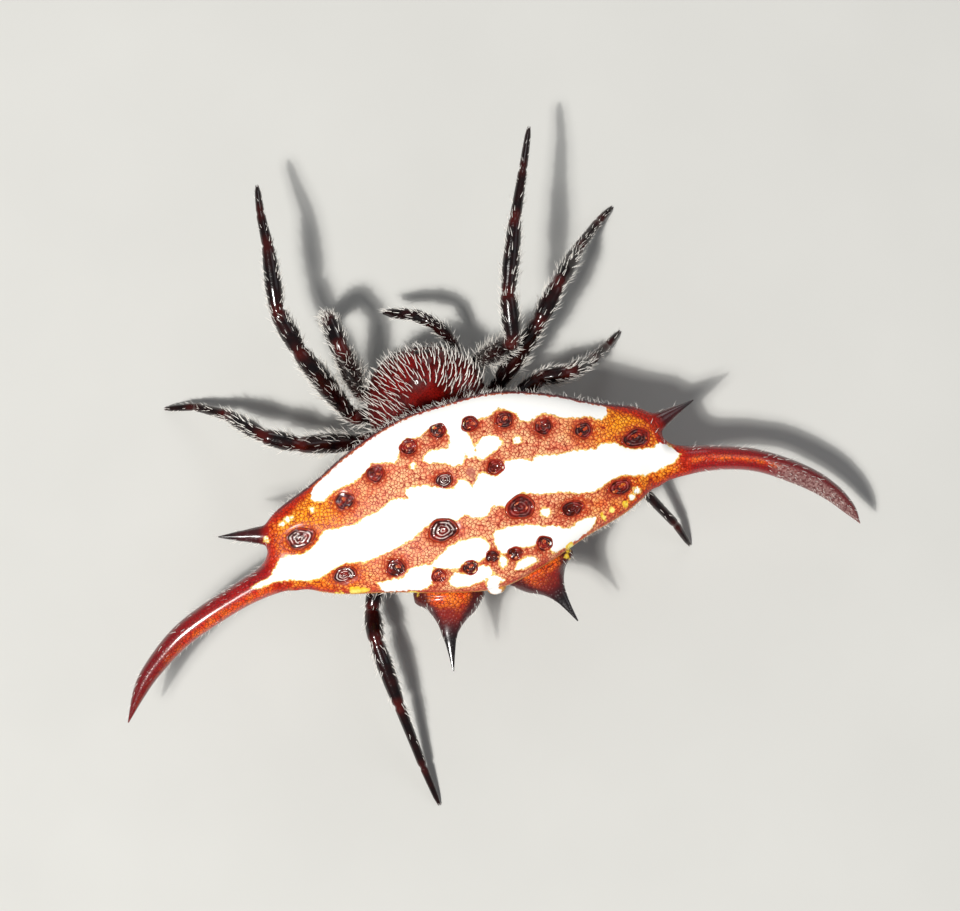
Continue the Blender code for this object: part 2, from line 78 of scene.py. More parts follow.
def to_model(points):
    """Measured points in millimetres, as an array of points in the model's metres."""
    return (np.asarray(points, float) - (*FOOTPRINT_MIDDLE, 0.0)) * MM


def only(obj):
    """Select one object and nothing else, in object mode."""
    if bpy.context.object and bpy.context.object.mode != "OBJECT":
        bpy.ops.object.mode_set(mode="OBJECT")
    bpy.ops.object.select_all(action="DESELECT")
    obj.select_set(True)
    bpy.context.view_layer.objects.active = obj


def edit_all(obj):
    """Open one object for editing, with all of it selected."""
    only(obj)
    bpy.ops.object.mode_set(mode="EDIT")
    bpy.ops.mesh.select_all(action="SELECT")


def close_outwards():
    """Turn the selected faces outwards and leave edit mode."""
    bpy.ops.mesh.normals_make_consistent(inside=False)
    bpy.ops.object.mode_set(mode="OBJECT")


bpy.ops.object.select_all(action="DESELECT")

# %% [markdown]
# ## Floor, camera and light
# The photo looks straight down, and the picture is turned a little against the spider. A
# long lens far above keeps the legs that stand high from spreading outwards. The light of
# the photo comes from the lower left, so the large soft key light is there too, with a small
# one in its middle for sharp glints, and a pale world fills the shadows.

# %% Floor
FLOOR_SIZE = 0.6
FLOOR_LEVEL = -0.00001
bpy.ops.mesh.primitive_plane_add(size=FLOOR_SIZE, location=(0, 0, FLOOR_LEVEL))
floor = bpy.context.object
floor.name = "floor"
bpy.ops.object.transform_apply(location=True, rotation=True, scale=True)
print("floor:", FLOOR_SIZE, "m")

# %% Camera
VIEW_WIDTH = 29.76 * MM
VIEW_MIDDLE = (-1.0 * MM, -0.1 * MM)
SHIELD_LEVEL = 3.6 * MM
LENS = 420.0
SENSOR = 36.0
IMAGE_RIGHT = Vector((-0.961, 0.277, 0)).normalized()
IMAGE_UP = Vector((-0.277, -0.961, 0)).normalized()

distance = VIEW_WIDTH * LENS / SENSOR
camera_data = bpy.data.cameras.new("camera")
camera_data.lens = LENS
camera_data.sensor_width = SENSOR
camera_data.clip_start = 0.01
camera_data.clip_end = 5.0
camera = bpy.data.objects.new("camera", camera_data)
bpy.context.scene.collection.objects.link(camera)
camera.location = (*VIEW_MIDDLE, SHIELD_LEVEL + distance)
camera.rotation_euler = (0, 0, math.atan2(IMAGE_RIGHT.y, IMAGE_RIGHT.x))
bpy.context.scene.camera = camera
print("camera height in mm:", round(camera.location.z / MM))

# %% Lights and world
LIGHTS = (
    # name, right, up and height from the spider in mm, width in mm, power, colour
    ("key", -85.0, -66.0, 240.0, 52.0, 0.52, (1.0, 0.98, 0.95)),
    ("core", -85.0, -66.0, 238.0, 9.0, 0.27, (1.0, 0.98, 0.95)),
    ("fill", 190.0, 60.0, 200.0, 170.0, 0.05, (0.94, 0.96, 1.0)),
    ("back", 20.0, 230.0, 130.0, 120.0, 0.07, (1.0, 1.0, 1.0)),
)
WORLD_COLOUR = (0.93, 0.95, 1.0, 1.0)
WORLD_STRENGTH = 0.19
for name, right, up, height, width, power, tint in LIGHTS:
    lamp = bpy.data.lights.new(name, "AREA")
    lamp.shape = "DISK"
    lamp.size = width * MM
    lamp.energy = power
    lamp.color = tint
    holder = bpy.data.objects.new(name, lamp)
    bpy.context.scene.collection.objects.link(holder)
    holder.location = (IMAGE_RIGHT * right + IMAGE_UP * up + Vector((0, 0, height))) * MM
    holder.rotation_euler = (-holder.location).to_track_quat("-Z", "Y").to_euler()
world = bpy.data.worlds.new("studio")
world.use_nodes = True
world.node_tree.nodes["Background"].inputs["Color"].default_value = WORLD_COLOUR
world.node_tree.nodes["Background"].inputs["Strength"].default_value = WORLD_STRENGTH
bpy.context.scene.world = world
bpy.context.scene.view_settings.view_transform = "Standard"
bpy.context.scene.view_settings.look = "None"
print("lights:", len(LIGHTS))

# %% [markdown]
# ## A small language for materials
# Node maths is easier to read as sums. `Wire` stands for one output of a node: adding or
# multiplying wires adds the Math nodes. `Finish` starts a material and makes every other
# node. Patterns are measured in millimetres from the model's own coordinates, so they stay
# on the surface whatever the camera does.

# %% Wires
class Wire:
    """One output of a material's nodes, with sums written as Python."""

    def __init__(self, finish, socket):
        self.finish = finish
        self.socket = socket

    def math(self, operation, first, second):
        return self.finish.node("ShaderNodeMath", {"operation": operation}, {0: first, 1: second})

    def __add__(self, other):
        return self.math("ADD", self, other)

    __radd__ = __add__

    def __sub__(self, other):
        return self.math("SUBTRACT", self, other)

    def __rsub__(self, other):
        return self.math("SUBTRACT", other, self)

    def __mul__(self, other):
        return self.math("MULTIPLY", self, other)

    __rmul__ = __mul__

    def most(self, other):
        """The larger of two wires."""
        return self.math("MAXIMUM", self, other)

    def step(self, low, high):
        """0 below one value, 1 above the other, and a smooth step between them."""
        return self.finish.node(
            "ShaderNodeMapRange", {"interpolation_type": "SMOOTHSTEP"},
            {"Value": self, "From Min": low, "From Max": high}, "Result",
        )


# %% Finishes
class Finish:
    """A material with one Principled shader, and short ways to make its nodes."""

    def __init__(self, name, **constants):
        self.material = bpy.data.materials.new(name)
        self.material.use_nodes = True
        self.tree = self.material.node_tree
        self.shader = self.tree.nodes["Principled BSDF"]
        for socket, value in constants.items():
            self.shader.inputs[socket.replace("_", " ")].default_value = value

    def node(self, kind, settings, values, output=0):
        made = self.tree.nodes.new(kind)
        for key, value in settings.items():
            setattr(made, key, value)
        for key, value in values.items():
            self.feed(made.inputs[key], value)
        return Wire(self, made.outputs[output])

    def feed(self, socket, value):
        if isinstance(value, Wire):
            self.tree.links.new(value.socket, socket)
        else:
            socket.default_value = value

    def give(self, socket, value):
        self.feed(self.shader.inputs[socket], value)

    def place(self):
        """The surface's own place, in millimetres."""
        spot = self.node("ShaderNodeTexCoord", {}, {}, "Object")
        return self.node("ShaderNodeVectorMath", {"operation": "SCALE"}, {0: spot, "Scale": 1 / MM})

    def stored(self, name):
        """A number that was written on the mesh."""
        return self.node("ShaderNodeAttribute", {"attribute_name": name}, {}, "Fac")

    def noise(self, size, detail=3.0):
        """A cloudy pattern from 0 to 1 with spots of about this size in millimetres."""
        values = {"Vector": self.place(), "Scale": 1 / size, "Detail": detail}
        return self.node("ShaderNodeTexNoise", {}, values, "Fac")

    def cells(self, size, feature="DISTANCE_TO_EDGE"):
        """Rounded cells of about this size in millimetres."""
        values = {"Vector": self.place(), "Scale": 1 / size}
        return self.node("ShaderNodeTexVoronoi", {"feature": feature}, values, "Distance")

    def mix(self, share, first, second):
        """A colour between two colours."""
        return self.node("ShaderNodeMix", {"data_type": "RGBA"}, {0: share, 6: first, 7: second}, 2)

    def bump(self, height, depth, under=None):
        """A small relief, its depth in millimetres."""
        values = {"Height": height, "Distance": depth * MM, "Strength": 1.0}
        if under:
            values["Normal"] = under
        return self.node("ShaderNodeBump", {}, values, "Normal")

    def gloss(self, coat, coat_roughness, sheen):
        """A clear coat, how blurred it shines, and how much the layer below it shines."""
        self.give("Coat Weight", coat)
        self.give("Coat Roughness", coat_roughness)
        self.give("Specular IOR Level", sheen)


def ink(red, green, blue):
    """A colour as a screen shows it, from 0 to 255, turned into the renderer's own scale."""
    steps = [c / 255 for c in (red, green, blue)]
    return (*[s / 12.92 if s <= 0.04045 else ((s + 0.055) / 1.055) ** 2.4 for s in steps], 1.0)


print("ways to make materials are ready")

# %% Floor finish
paper = Finish("pale_floor", Roughness=0.85)
paper.give("Base Color", paper.mix(paper.noise(6.0), ink(196, 196, 192), ink(204, 204, 200)))
floor.data.materials.append(paper.material)
print("floor finish:", paper.material.name)

# %% [markdown]
# ## The shield's shape
# A spiny orb weaver's abdomen is a hard shield, wider than long, that runs on at each end
# into a long curved horn. By hand one would sweep a changing section along a line. The
# section here is a flat egg on the shield and a circle on the horn, which no plain extrude
# gives, so its rings are worked out as points and covered with faces. Top and horns are one
# surface, so no seam shows where the horn begins.

# %% Sections of the shield
SHIELD_HEIGHT = 4.2
SIDE_TILT = math.radians(4.5)
RIGHT_SHARE = 0.92
HORN_FROM = 7.0
HORN_ROOT_PLACE = 0.58
SHOULDER_LENGTH = 1.6
BELLY_BACK = 0.30
SHIELD_ROUNDNESS = 2.3
SKIN_INSET = 0.03
FINE_ROWS = 4001
# distance out, distance back, sag, half width, crown and keel
SHIELD = (
    (0.0, -0.78, 0.00, 3.02, 0.95, 3.05),
    (1.6, -0.88, 0.03, 2.84, 0.93, 2.75),
    (3.2, -0.89, 0.14, 2.36, 0.84, 2.15),
    (4.7, -0.73, 0.32, 1.83, 0.72, 1.45),
    (5.8, -0.73, 0.50, 1.39, 0.62, 0.95),
    (6.3, -0.56, 0.58, 1.16, 0.57, 0.78),
    (6.62, -0.10, 0.63, 0.60, 0.52, 0.58),
)
LEFT_HORN = (
    (7.72, 0.18, 0.78, 0.44, 0.45, 0.46),
    (9.00, 0.55, 1.02, 0.42, 0.42, 0.42),
    (10.06, 0.98, 1.28, 0.39, 0.39, 0.39),
    (11.11, 1.68, 1.64, 0.32, 0.32, 0.32),
    (11.69, 2.24, 1.86, 0.24, 0.24, 0.24),
    (12.29, 3.04, 2.16, 0.05, 0.05, 0.05),
)
RIGHT_HORN = (
    (7.40, 0.16, 0.74, 0.43, 0.43, 0.44),
    (8.71, 0.62, 0.96, 0.38, 0.38, 0.38),
    (9.94, 1.45, 1.30, 0.37, 0.37, 0.37),
    (10.68, 2.19, 1.58, 0.32, 0.32, 0.32),
    (11.12, 2.90, 1.82, 0.22, 0.22, 0.22),
    (11.31, 3.42, 1.98, 0.04, 0.04, 0.04),
)


def curve_rows(rows, places):
    """Rows at fractional places in a list, on a smooth curve through all its rows."""
    rows = np.asarray(rows, float)
    last = len(rows) - 1
    i = np.clip(np.floor(places).astype(int), 0, last - 1)
    u = (np.asarray(places) - i)[:, None]
    padded = np.vstack((2 * rows[0] - rows[1], rows, 2 * rows[-1] - rows[-2]))
    before, here, there, after = padded[i], padded[i + 1], padded[i + 2], padded[i + 3]
    bend = (2 * before - 5 * here + 4 * there - after) * u**2
    twist = (3 * here - before - 3 * there + after) * u**3
    return 0.5 * (2 * here + (there - before) * u + bend + twist)


right_shield = [(row[0] * RIGHT_SHARE, *row[1:]) for row in SHIELD[1:]]
right_rows = [(-row[0], *row[1:]) for row in reversed(right_shield + list(RIGHT_HORN))]
all_rows = right_rows + list(SHIELD) + list(LEFT_HORN)
fine = curve_rows(all_rows, np.linspace(0, len(all_rows) - 1, FINE_ROWS))
centre_line = np.column_stack((fine[:, 0], fine[:, 1], SHIELD_HEIGHT - fine[:, 2]
                               + fine[:, 0] * math.tan(SIDE_TILT)))
print("horn tips in mm:", centre_line[0].round(2), centre_line[-1].round(2))

# %% Cover rings with faces
def mesh_object(name, points, faces, finish):
    """A mesh from points in millimetres of the measured frame."""
    mesh = bpy.data.meshes.new(name)
    mesh.from_pydata(to_model(points).tolist(), [], faces)
    obj = bpy.data.objects.new(name, mesh)
    bpy.context.scene.collection.objects.link(obj)
    mesh.materials.append(finish.material)
    return obj


def cover(name, rings, finish):
    """A closed surface over rings of points, with a middle point at each end."""
    rings = np.asarray(rings, float)
    count, sides = rings.shape[:2]
    points = rings.reshape(-1, 3).tolist()
    points += [rings[0].mean(0).tolist(), rings[-1].mean(0).tolist()]
    faces = []
    for i in range(count - 1):
        for j in range(sides):
            k = (j + 1) % sides
            faces.append((i * sides + j, i * sides + k, (i + 1) * sides + k, (i + 1) * sides + j))
    first, last = count * sides, count * sides + 1
    for j in range(sides):
        k = (j + 1) % sides
        faces.append((k, j, first))
        faces.append(((count - 1) * sides + j, (count - 1) * sides + k, last))
    obj = mesh_object(name, points, faces, finish)
    edit_all(obj)
    close_outwards()
    return obj


# %% Rings of the shield
SHIELD_STEP = 0.085
HORN_STEP = 0.13
TOP_SIDES = 64
BELLY_SIDES = 26
# how fast the belly falls away in front of its lowest line and behind it
BELLY_FALL = (1.25, 2.2)


def spread_rows():
    """Rows along the shield, close together on the shield and wider apart on the horns."""
    steps = np.linalg.norm(np.diff(centre_line, axis=0), axis=1)
    middles = (centre_line[1:, 0] + centre_line[:-1, 0]) / 2
    wanted = np.where(np.abs(middles) < HORN_FROM, SHIELD_STEP, HORN_STEP)
    sums = np.concatenate(([0], np.cumsum(steps / wanted)))
    return np.interp(np.linspace(0, sums[-1], int(sums[-1])), sums, np.arange(len(sums)))


tangent = np.gradient(centre_line, axis=0)
tangent /= np.linalg.norm(tangent, axis=1)[:, None]
reach_out = np.abs(centre_line[:, 0]) / np.where(centre_line[:, 0] > 0, 1.0, RIGHT_SHARE)
shieldness = np.clip((HORN_FROM - reach_out) / SHOULDER_LENGTH, 0, 1)
root_index = np.interp((-HORN_ROOT_PLACE, HORN_ROOT_PLACE), (-1, 1), (0, FINE_ROWS - 1)).astype(int)
past_middle = FINE_ROWS // 2 + 1
held = np.arange(FINE_ROWS)
held[root_index[0]:past_middle] = root_index[0]
held[past_middle:root_index[1]] = root_index[1]
square = np.column_stack((-tangent[held, 1], tangent[held, 0], np.zeros(FINE_ROWS)))
square /= np.linalg.norm(square, axis=1)[:, None]
backward = square * (1 - shieldness[:, None]) + np.outer(shieldness, (0, 1, 0))
backward /= np.linalg.norm(backward, axis=1)[:, None]
upward = np.cross(tangent, backward)
upward /= np.linalg.norm(upward, axis=1)[:, None]


def shield_rings():
    """Sections straight across the shield and square to a horn."""
    angles = np.concatenate((np.linspace(0, math.pi, TOP_SIDES, endpoint=False),
                             np.linspace(math.pi, 2 * math.pi, BELLY_SIDES, endpoint=False)))
    cosine, sine = np.cos(angles), np.sin(angles)
    rings = []
    for at in spread_rows():
        i = int(round(at))
        width, crown, keel = np.maximum(fine[i, 3:] - SKIN_INSET, 0.01)
        flat = shieldness[i]
        power = 2 / (2 + (SHIELD_ROUNDNESS - 2) * flat)
        across = np.sign(cosine) * np.abs(cosine) ** power
        front = np.clip((BELLY_BACK - across) / (1 + BELLY_BACK), 0, 1)
        rear = np.clip((across - BELLY_BACK) / (1 - BELLY_BACK), 0, 1)
        slope = np.where(across < BELLY_BACK, 1 - front ** BELLY_FALL[0], 1 - rear ** BELLY_FALL[1])
        round_part = np.sqrt(np.clip(1 - across**2, 0, 1))
        below = -keel * (flat * slope + (1 - flat) * round_part)
        rise = np.where(sine >= 0, crown * np.abs(sine) ** power, below)
        rings.append(centre_line[i] + np.outer(across * width, backward[i])
                     + np.outer(rise, upward[i]))
    return rings


finishes = {name: Finish(name) for name in ("shield_shell", "carapace_shell", "leg_shell",
                                            "jaw_shell", "belly_shell", "sigilla_shell",
                                            "eye_glass", "hair", "horn_tip")}
shield = cover("shield", shield_rings(), finishes["shield_shell"])
print("shield:", len(shield.data.polygons), "faces")

# %% [markdown]
# ## Limbs and spines
# A leg, a jaw or a spine is a tube whose thickness changes along a bent line. By hand one
# draws a curve, gives it a round bevel, sets each point's radius and turns it into a mesh.
# The line's corners are rounded first, and each leg joint is a short narrow neck between
# two swellings, as in a real leg.

# %% Rounded lines
CORNER_REACH = 1.5
CORNER_LIMIT = 0.42
CORNER_POINTS = 7


def rounded(path, radii, spacing=0.07):
    """Points close together on a path with rounded corners, and the share of length of each."""
    points = [Vector(p) for p in path]
    lengths = [(b - a).length for a, b in zip(points, points[1:])]
    starts = np.concatenate(([0.0], np.cumsum(lengths)))
    placed = [(points[0], 0.0)]
    for i in range(1, len(points) - 1):
        back = (points[i - 1] - points[i]).normalized()
        on = (points[i + 1] - points[i]).normalized()
        turn = math.pi - back.angle(on)
        reach = min(CORNER_REACH * radii(starts[i] / starts[-1]) * math.tan(turn / 2) + 0.02,
                    CORNER_LIMIT * min(lengths[i - 1], lengths[i]))
        for u in np.linspace(0, 1, CORNER_POINTS):
            first = points[i] + back * reach
            last = points[i] + on * reach
            at = first * (1 - u) ** 2 + points[i] * 2 * u * (1 - u) + last * u**2
            placed.append((at, (starts[i] + reach * (2 * u - 1)) / starts[-1]))
    placed.append((points[-1], 1.0))
    line = np.array([tuple(p) for p, _ in placed])
    shares = np.array([s for _, s in placed])
    walked = np.concatenate(([0], np.cumsum(np.linalg.norm(np.diff(line, axis=0), axis=1))))
    count = max(6, int(walked[-1] / spacing))
    steps = np.linspace(0, walked[-1], count)
    smooth = np.column_stack([np.interp(steps, walked, line[:, axis]) for axis in range(3)])
    return smooth, np.interp(steps, walked, shares)


def radii_through(stops):
    """A radius for each share of length, straight between its stops."""
    shares, radii = zip(*stops)
    return lambda share: np.interp(share, shares, radii)


MERGE_GAP = 0.002 * MM


def tube(name, path, radii, finish, sides=16, spacing=0.07, flat=1.0):
    """A curve with a round bevel and a radius at each point, turned into a closed mesh."""
    line, shares = rounded(path, radii, spacing)
    curve = bpy.data.curves.new(name, "CURVE")
    curve.dimensions = "3D"
    curve.bevel_depth = MM
    curve.bevel_resolution = (sides - 4) // 2
    curve.use_fill_caps = True
    spline = curve.splines.new("POLY")
    spline.points.add(len(line) - 1)
    spline.points.foreach_set("co", np.column_stack((to_model(line), np.ones(len(line)))).ravel())
    spline.points.foreach_set("radius", np.asarray(radii(shares), float))
    obj = bpy.data.objects.new(name, curve)
    bpy.context.scene.collection.objects.link(obj)
    only(obj)
    bpy.ops.object.convert(target="MESH")
    edit_all(obj)
    bpy.ops.mesh.remove_doubles(threshold=MERGE_GAP)
    if flat != 1.0:
        level = to_model(line)[:, 2].mean()
        bpy.ops.transform.resize(value=(1, 1, flat), center_override=(0, 0, level))
    close_outwards()
    obj.data.materials.clear()
    obj.data.materials.append(finish.material)
    lines[name] = (line, shares)
    return obj


lines = {}
print("tubes are ready")

# %% Spines and spinnerets
FRONT_SPINE = ((6.20, -1.26, -0.52), (6.90, -1.46, -0.56), (7.98, -1.72, -0.64))
REAR_SPINES = {
    "left": ((1.48, 1.25, -0.56), (1.66, 2.35, -0.56), (1.92, 3.10, -0.58), (2.14, 4.30, -0.64)),
    "right": ((1.34, 1.30, -0.56), (1.52, 2.25, -0.56), (1.86, 3.05, -0.58), (2.17, 3.87, -0.62)),
}
FRONT_GIRTH = ((0.0, 0.34), (0.30, 0.31), (0.40, 0.27), (0.55, 0.20), (0.8, 0.10), (1.0, 0.02))
REAR_GIRTH = ((0.0, 1.18), (0.275, 1.10), (0.33, 0.95), (0.375, 0.81), (0.43, 0.64), (0.485, 0.49),
              (0.54, 0.37), (0.60, 0.28), (0.71, 0.17), (0.85, 0.09), (1.0, 0.02))
REAR_FLATNESS = 0.5
SPINNERETS = ((0.0, 0.30, 2.2), (0.0, 0.30, 0.48))
CONE_GIRTH = ((0.0, 0.60), (0.45, 0.44), (0.7, 0.40), (0.75, 0.34), (0.9, 0.30), (1.0, 0.16))


def on_shield(out, back, rise, side):
    """A point given from the shield's rim at the middle, on either side."""
    x = side * out * (1.0 if side > 0 else RIGHT_SHARE)
    return (x, back, SHIELD_HEIGHT + rise + x * math.tan(SIDE_TILT))


# x, y and radius of the pale round end of the knob on the rear rim
KNOB = (0.13, 2.10, 0.29)
KNOB_PATH = [on_shield(KNOB[0], back, -0.12, 1) for back in (1.5, KNOB[1] + 0.27)]
KNOB_GIRTH = ((0, 0.34), (0.72, 0.34), (0.9, 0.26), (1, 0.12))

spines = []
for side, word in ((1, "left"), (-1, "right")):
    for kind, ends, girth, flat in (("front", FRONT_SPINE, FRONT_GIRTH, 1.0),
                                    ("rear", REAR_SPINES[word], REAR_GIRTH, REAR_FLATNESS)):
        path = [on_shield(*end, side) for end in ends]
        spines.append(tube(f"{kind}_spine_{word}", path, radii_through(girth),
                           finishes["horn_tip"], 28, 0.06, flat))
for name, path, girth, finish in (("knob", KNOB_PATH, KNOB_GIRTH, "shield_shell"),
                                  ("spinneret_cone", SPINNERETS, CONE_GIRTH, "belly_shell")):
    spines.append(tube(name, path, radii_through(girth), finishes[finish], 20))
print("spines and spinnerets:", len(spines))

# %% Join closed meshes into one surface
SHARP_FROM = math.radians(60)


def unite(target, others):
    """One surface round all of these closed meshes."""
    group = bpy.data.collections.new("joining")
    for other in others:
        group.objects.link(other)
    modifier = target.modifiers.new("join", "BOOLEAN")
    modifier.operation = "UNION"
    modifier.operand_type = "COLLECTION"
    modifier.collection = group
    modifier.solver = "MANIFOLD"
    modifier.material_mode = "TRANSFER"
    only(target)
    bpy.ops.object.modifier_apply(modifier=modifier.name)
    for other in others:
        bpy.data.objects.remove(other, do_unlink=True)
    bpy.data.collections.remove(group)
    only(target)
    bpy.ops.object.shade_smooth_by_angle(angle=SHARP_FROM)
    return target


unite(shield, spines)
print("shield with its spines:", len(shield.data.polygons), "faces")

# %% Soften the seams where parts meet
def soften(obj, rounds, grow):
    """Smooth a narrow strip along every seam between two finishes."""
    mesh = obj.data
    lowest = np.full(len(mesh.vertices), 99)
    highest = np.full(len(mesh.vertices), -1)
    for face in mesh.polygons:
        corners = list(face.vertices)
        lowest[corners] = np.minimum(lowest[corners], face.material_index)
        highest[corners] = np.maximum(highest[corners], face.material_index)
    smooth_points(obj, lowest != highest, rounds, grow)


def smooth_points(obj, chosen, rounds, grow=0):
    """Smooth the chosen points of a mesh, and a few more round them."""
    only(obj)
    bpy.ops.object.mode_set(mode="EDIT")
    bpy.ops.mesh.select_mode(type="VERT")
    bpy.ops.mesh.select_all(action="DESELECT")
    bpy.ops.object.mode_set(mode="OBJECT")
    obj.data.vertices.foreach_set("select", chosen)
    bpy.ops.object.mode_set(mode="EDIT")
    for _ in range(grow):
        bpy.ops.mesh.select_more()
    bpy.ops.mesh.vertices_smooth(factor=0.5, repeat=rounds)
    bpy.ops.object.mode_set(mode="OBJECT")


SHOULDER_SPAN = (5.55, 7.3)
soften(shield, 6, 2)
along_shield = np.array([abs(v.co.x / MM + FOOTPRINT_MIDDLE[0]) for v in shield.data.vertices])
smooth_points(shield, (along_shield > SHOULDER_SPAN[0]) & (along_shield < SHOULDER_SPAN[1]), 14)
print("seams softened")

# %% Numbers for each point of a mesh
def points_of(obj):
    """A mesh's points in the measured millimetres."""
    flat = np.empty(3 * len(obj.data.vertices))
    obj.data.vertices.foreach_get("co", flat)
    return flat.reshape(-1, 3) / MM + (*FOOTPRINT_MIDDLE, 0.0)


def normals_of(obj):
    """The direction that the surface faces at each point."""
    flat = np.empty(3 * len(obj.data.vertices))
    obj.data.vertices.foreach_get("normal", flat)
    return flat.reshape(-1, 3)


def store(obj, **columns):
    """Write columns of numbers on a mesh's points, for its finish to read."""
    for name, numbers in columns.items():
        layer = obj.data.attributes.new(name, "FLOAT", "POINT")
        layer.data.foreach_set("value", np.asarray(numbers, np.float32))


AT_ONCE = 1500


def nearest_on(points, line):
    """For each point, the index of the nearest place on a line and the distance to it."""
    index, gap = np.empty(len(points), int), np.empty(len(points))
    for start in range(0, len(points), AT_ONCE):
        some = slice(start, start + AT_ONCE)
        gaps = np.linalg.norm(points[some, None, :] - line[None], axis=2)
        index[some], gap[some] = gaps.argmin(1), gaps.min(1)
    return index, gap


def ramp(numbers, low, high):
    """0 below one value, 1 above the other, and a smooth step between them."""
    share = np.clip((np.asarray(numbers) - low) / (high - low), 0, 1)
    return share * share * (3 - 2 * share)


def with_finish(obj, name):
    """Which points of a mesh touch a face with this finish."""
    found = np.zeros(len(obj.data.vertices), bool)
    slots = [i for i, material in enumerate(obj.data.materials) if material.name == name]
    for face in obj.data.polygons:
        if face.material_index in slots:
            found[list(face.vertices)] = True
    return found


print("points of the shield:", len(points_of(shield)))

# %% [markdown]
# ## The shield's markings
# White bands and islands lie on an orange ground, with rows of dark round plates, the
# sigilla, where muscles pull on the shell from inside. Their outlines were read from
# the picture. Each point of the mesh gets its distance to the nearest outline, and the
# finish later cuts that distance with a little noise, so edges stay ragged and sharp at any
# size, and no picture is needed.

# %% Outlines of the white patches
FRONT_BAND = (
    (4.87, -2.07), (4.80, -2.30), (4.60, -2.56), (4.13, -2.90), (3.42, -3.26), (2.72, -3.62),
    (2.17, -3.85), (1.51, -4.08), (0.47, -4.23), (-0.85, -4.28), (-1.83, -4.27), (-3.55, -3.52),
    (-4.31, -2.79), (-4.61, -2.38), (-4.68, -2.19), (-4.59, -1.99),
    (-4.38, -1.92), (-4.06, -2.15), (-3.59, -2.22), (-3.22, -2.36), (-2.83, -2.60), (-2.58, -2.61),
    (-2.29, -2.50), (-2.02, -2.57), (-1.94, -2.85), (-1.65, -3.07), (-1.38, -3.15), (-1.14, -2.99),
    (-0.76, -3.00), (-0.42, -3.19), (-0.28, -3.14), (-0.27, -2.79), (-0.37, -2.44), (-0.40, -2.20),
    (-0.32, -1.93), (-0.11, -1.90), (-0.09, -2.13), (-0.02, -2.12), (0.04, -1.81), (0.33, -1.80),
    (0.75, -2.02), (1.17, -2.14), (1.23, -2.28), (0.95, -2.46), (0.64, -2.41), (0.36, -2.39),
    (0.24, -2.68), (0.27, -3.04), (0.54, -3.21), (0.79, -3.13), (1.19, -2.98), (1.55, -3.05),
    (1.77, -2.96), (1.91, -2.61), (2.09, -2.40), (2.38, -2.52), (2.81, -2.61), (3.03, -2.41),
    (3.44, -2.21), (3.95, -2.13), (4.22, -2.08), (4.50, -1.90), (4.78, -1.92),
)
MAIN_BAND = (
    (7.43, 0.09), (7.07, -0.03), (6.77, -0.07), (6.53, -0.33), (6.32, -0.52), (6.08, -0.55),
    (5.59, -0.47), (5.27, -0.58), (5.03, -0.73), (4.88, -0.92), (4.70, -0.99), (4.13, -0.93),
    (3.75, -0.91), (3.41, -1.07), (3.02, -1.09), (2.77, -1.18), (2.57, -1.32), (2.25, -1.32),
    (1.97, -1.17), (2.03, -1.51), (1.79, -1.54), (1.39, -1.49), (0.97, -1.27), (0.59, -1.13),
    (0.33, -1.35), (0.13, -1.26), (0.00, -0.93), (-0.17, -1.20), (-0.35, -1.38), (-0.59, -1.31),
    (-0.70, -1.12), (-0.95, -1.20), (-1.23, -1.51), (-1.60, -1.47), (-1.90, -1.38), (-1.96, -1.24),
    (-2.17, -1.40), (-2.77, -1.26), (-3.31, -1.23), (-4.01, -1.10), (-4.21, -1.20), (-4.57, -1.13),
    (-4.81, -0.93), (-5.08, -0.76), (-5.69, -0.64), (-5.97, -0.72), (-6.14, -0.64), (-6.47, -0.23),
    (-6.23, -0.04), (-5.75, 0.05), (-5.25, 0.10), (-4.51, -0.11), (-4.06, -0.02), (-3.59, 0.14),
    (-3.16, 0.08), (-2.61, -0.14), (-1.96, -0.24), (-1.44, -0.45), (-1.12, -0.35), (-0.87, -0.16),
    (-0.43, -0.32), (-0.28, -0.11), (0.03, -0.04), (0.35, -0.19), (0.38, -0.30), (0.70, -0.19),
    (1.29, -0.40), (1.75, -0.24), (2.20, -0.02), (2.76, 0.12), (3.33, 0.21), (3.80, 0.27),
    (4.37, 0.13), (4.81, 0.20), (5.24, 0.34), (5.60, 0.36), (6.22, 0.15), (6.72, 0.10), (7.12, 0.15),
)
FRONT_ISLAND = (
    (-0.71, -2.40), (-1.07, -2.40), (-1.31, -2.13), (-1.14, -1.99), (-0.77, -1.84), (-0.56, -1.77),
    (-0.39, -1.85), (-0.43, -2.10), (-0.51, -2.27),
)
REAR_LEFT_ISLAND = (
    (1.92, 1.00), (1.77, 0.85), (1.43, 0.66), (1.17, 0.54), (0.83, 0.48), (0.44, 0.49), (0.14, 0.55),
    (-0.01, 0.72), (0.02, 0.94), (0.15, 1.16), (0.46, 1.20), (0.89, 1.14), (1.09, 1.27), (1.54, 1.14),
)
REAR_RIGHT_ISLAND = (
    (-0.26, 0.50), (-0.59, 0.47), (-1.16, 0.53), (-1.68, 0.72), (-2.16, 0.86), (-2.52, 1.06),
    (-2.86, 0.90), (-3.25, 0.88), (-3.42, 0.96), (-3.19, 1.22), (-2.70, 1.43), (-2.25, 1.56),
    (-1.84, 1.63), (-1.79, 1.46), (-1.90, 1.20), (-1.72, 1.05), (-1.45, 1.20), (-1.15, 1.21),
    (-0.67, 1.10), (-0.44, 1.23), (-0.27, 1.15), (-0.20, 0.84),
)
REAR_LEFT_STRIP = (
    (3.63, 1.02), (3.31, 1.02), (2.84, 1.09), (2.52, 0.86), (2.10, 0.85), (1.89, 0.91), (1.92, 1.13),
    (2.03, 1.52), (2.37, 1.58), (3.04, 1.45), (3.52, 1.31),
)
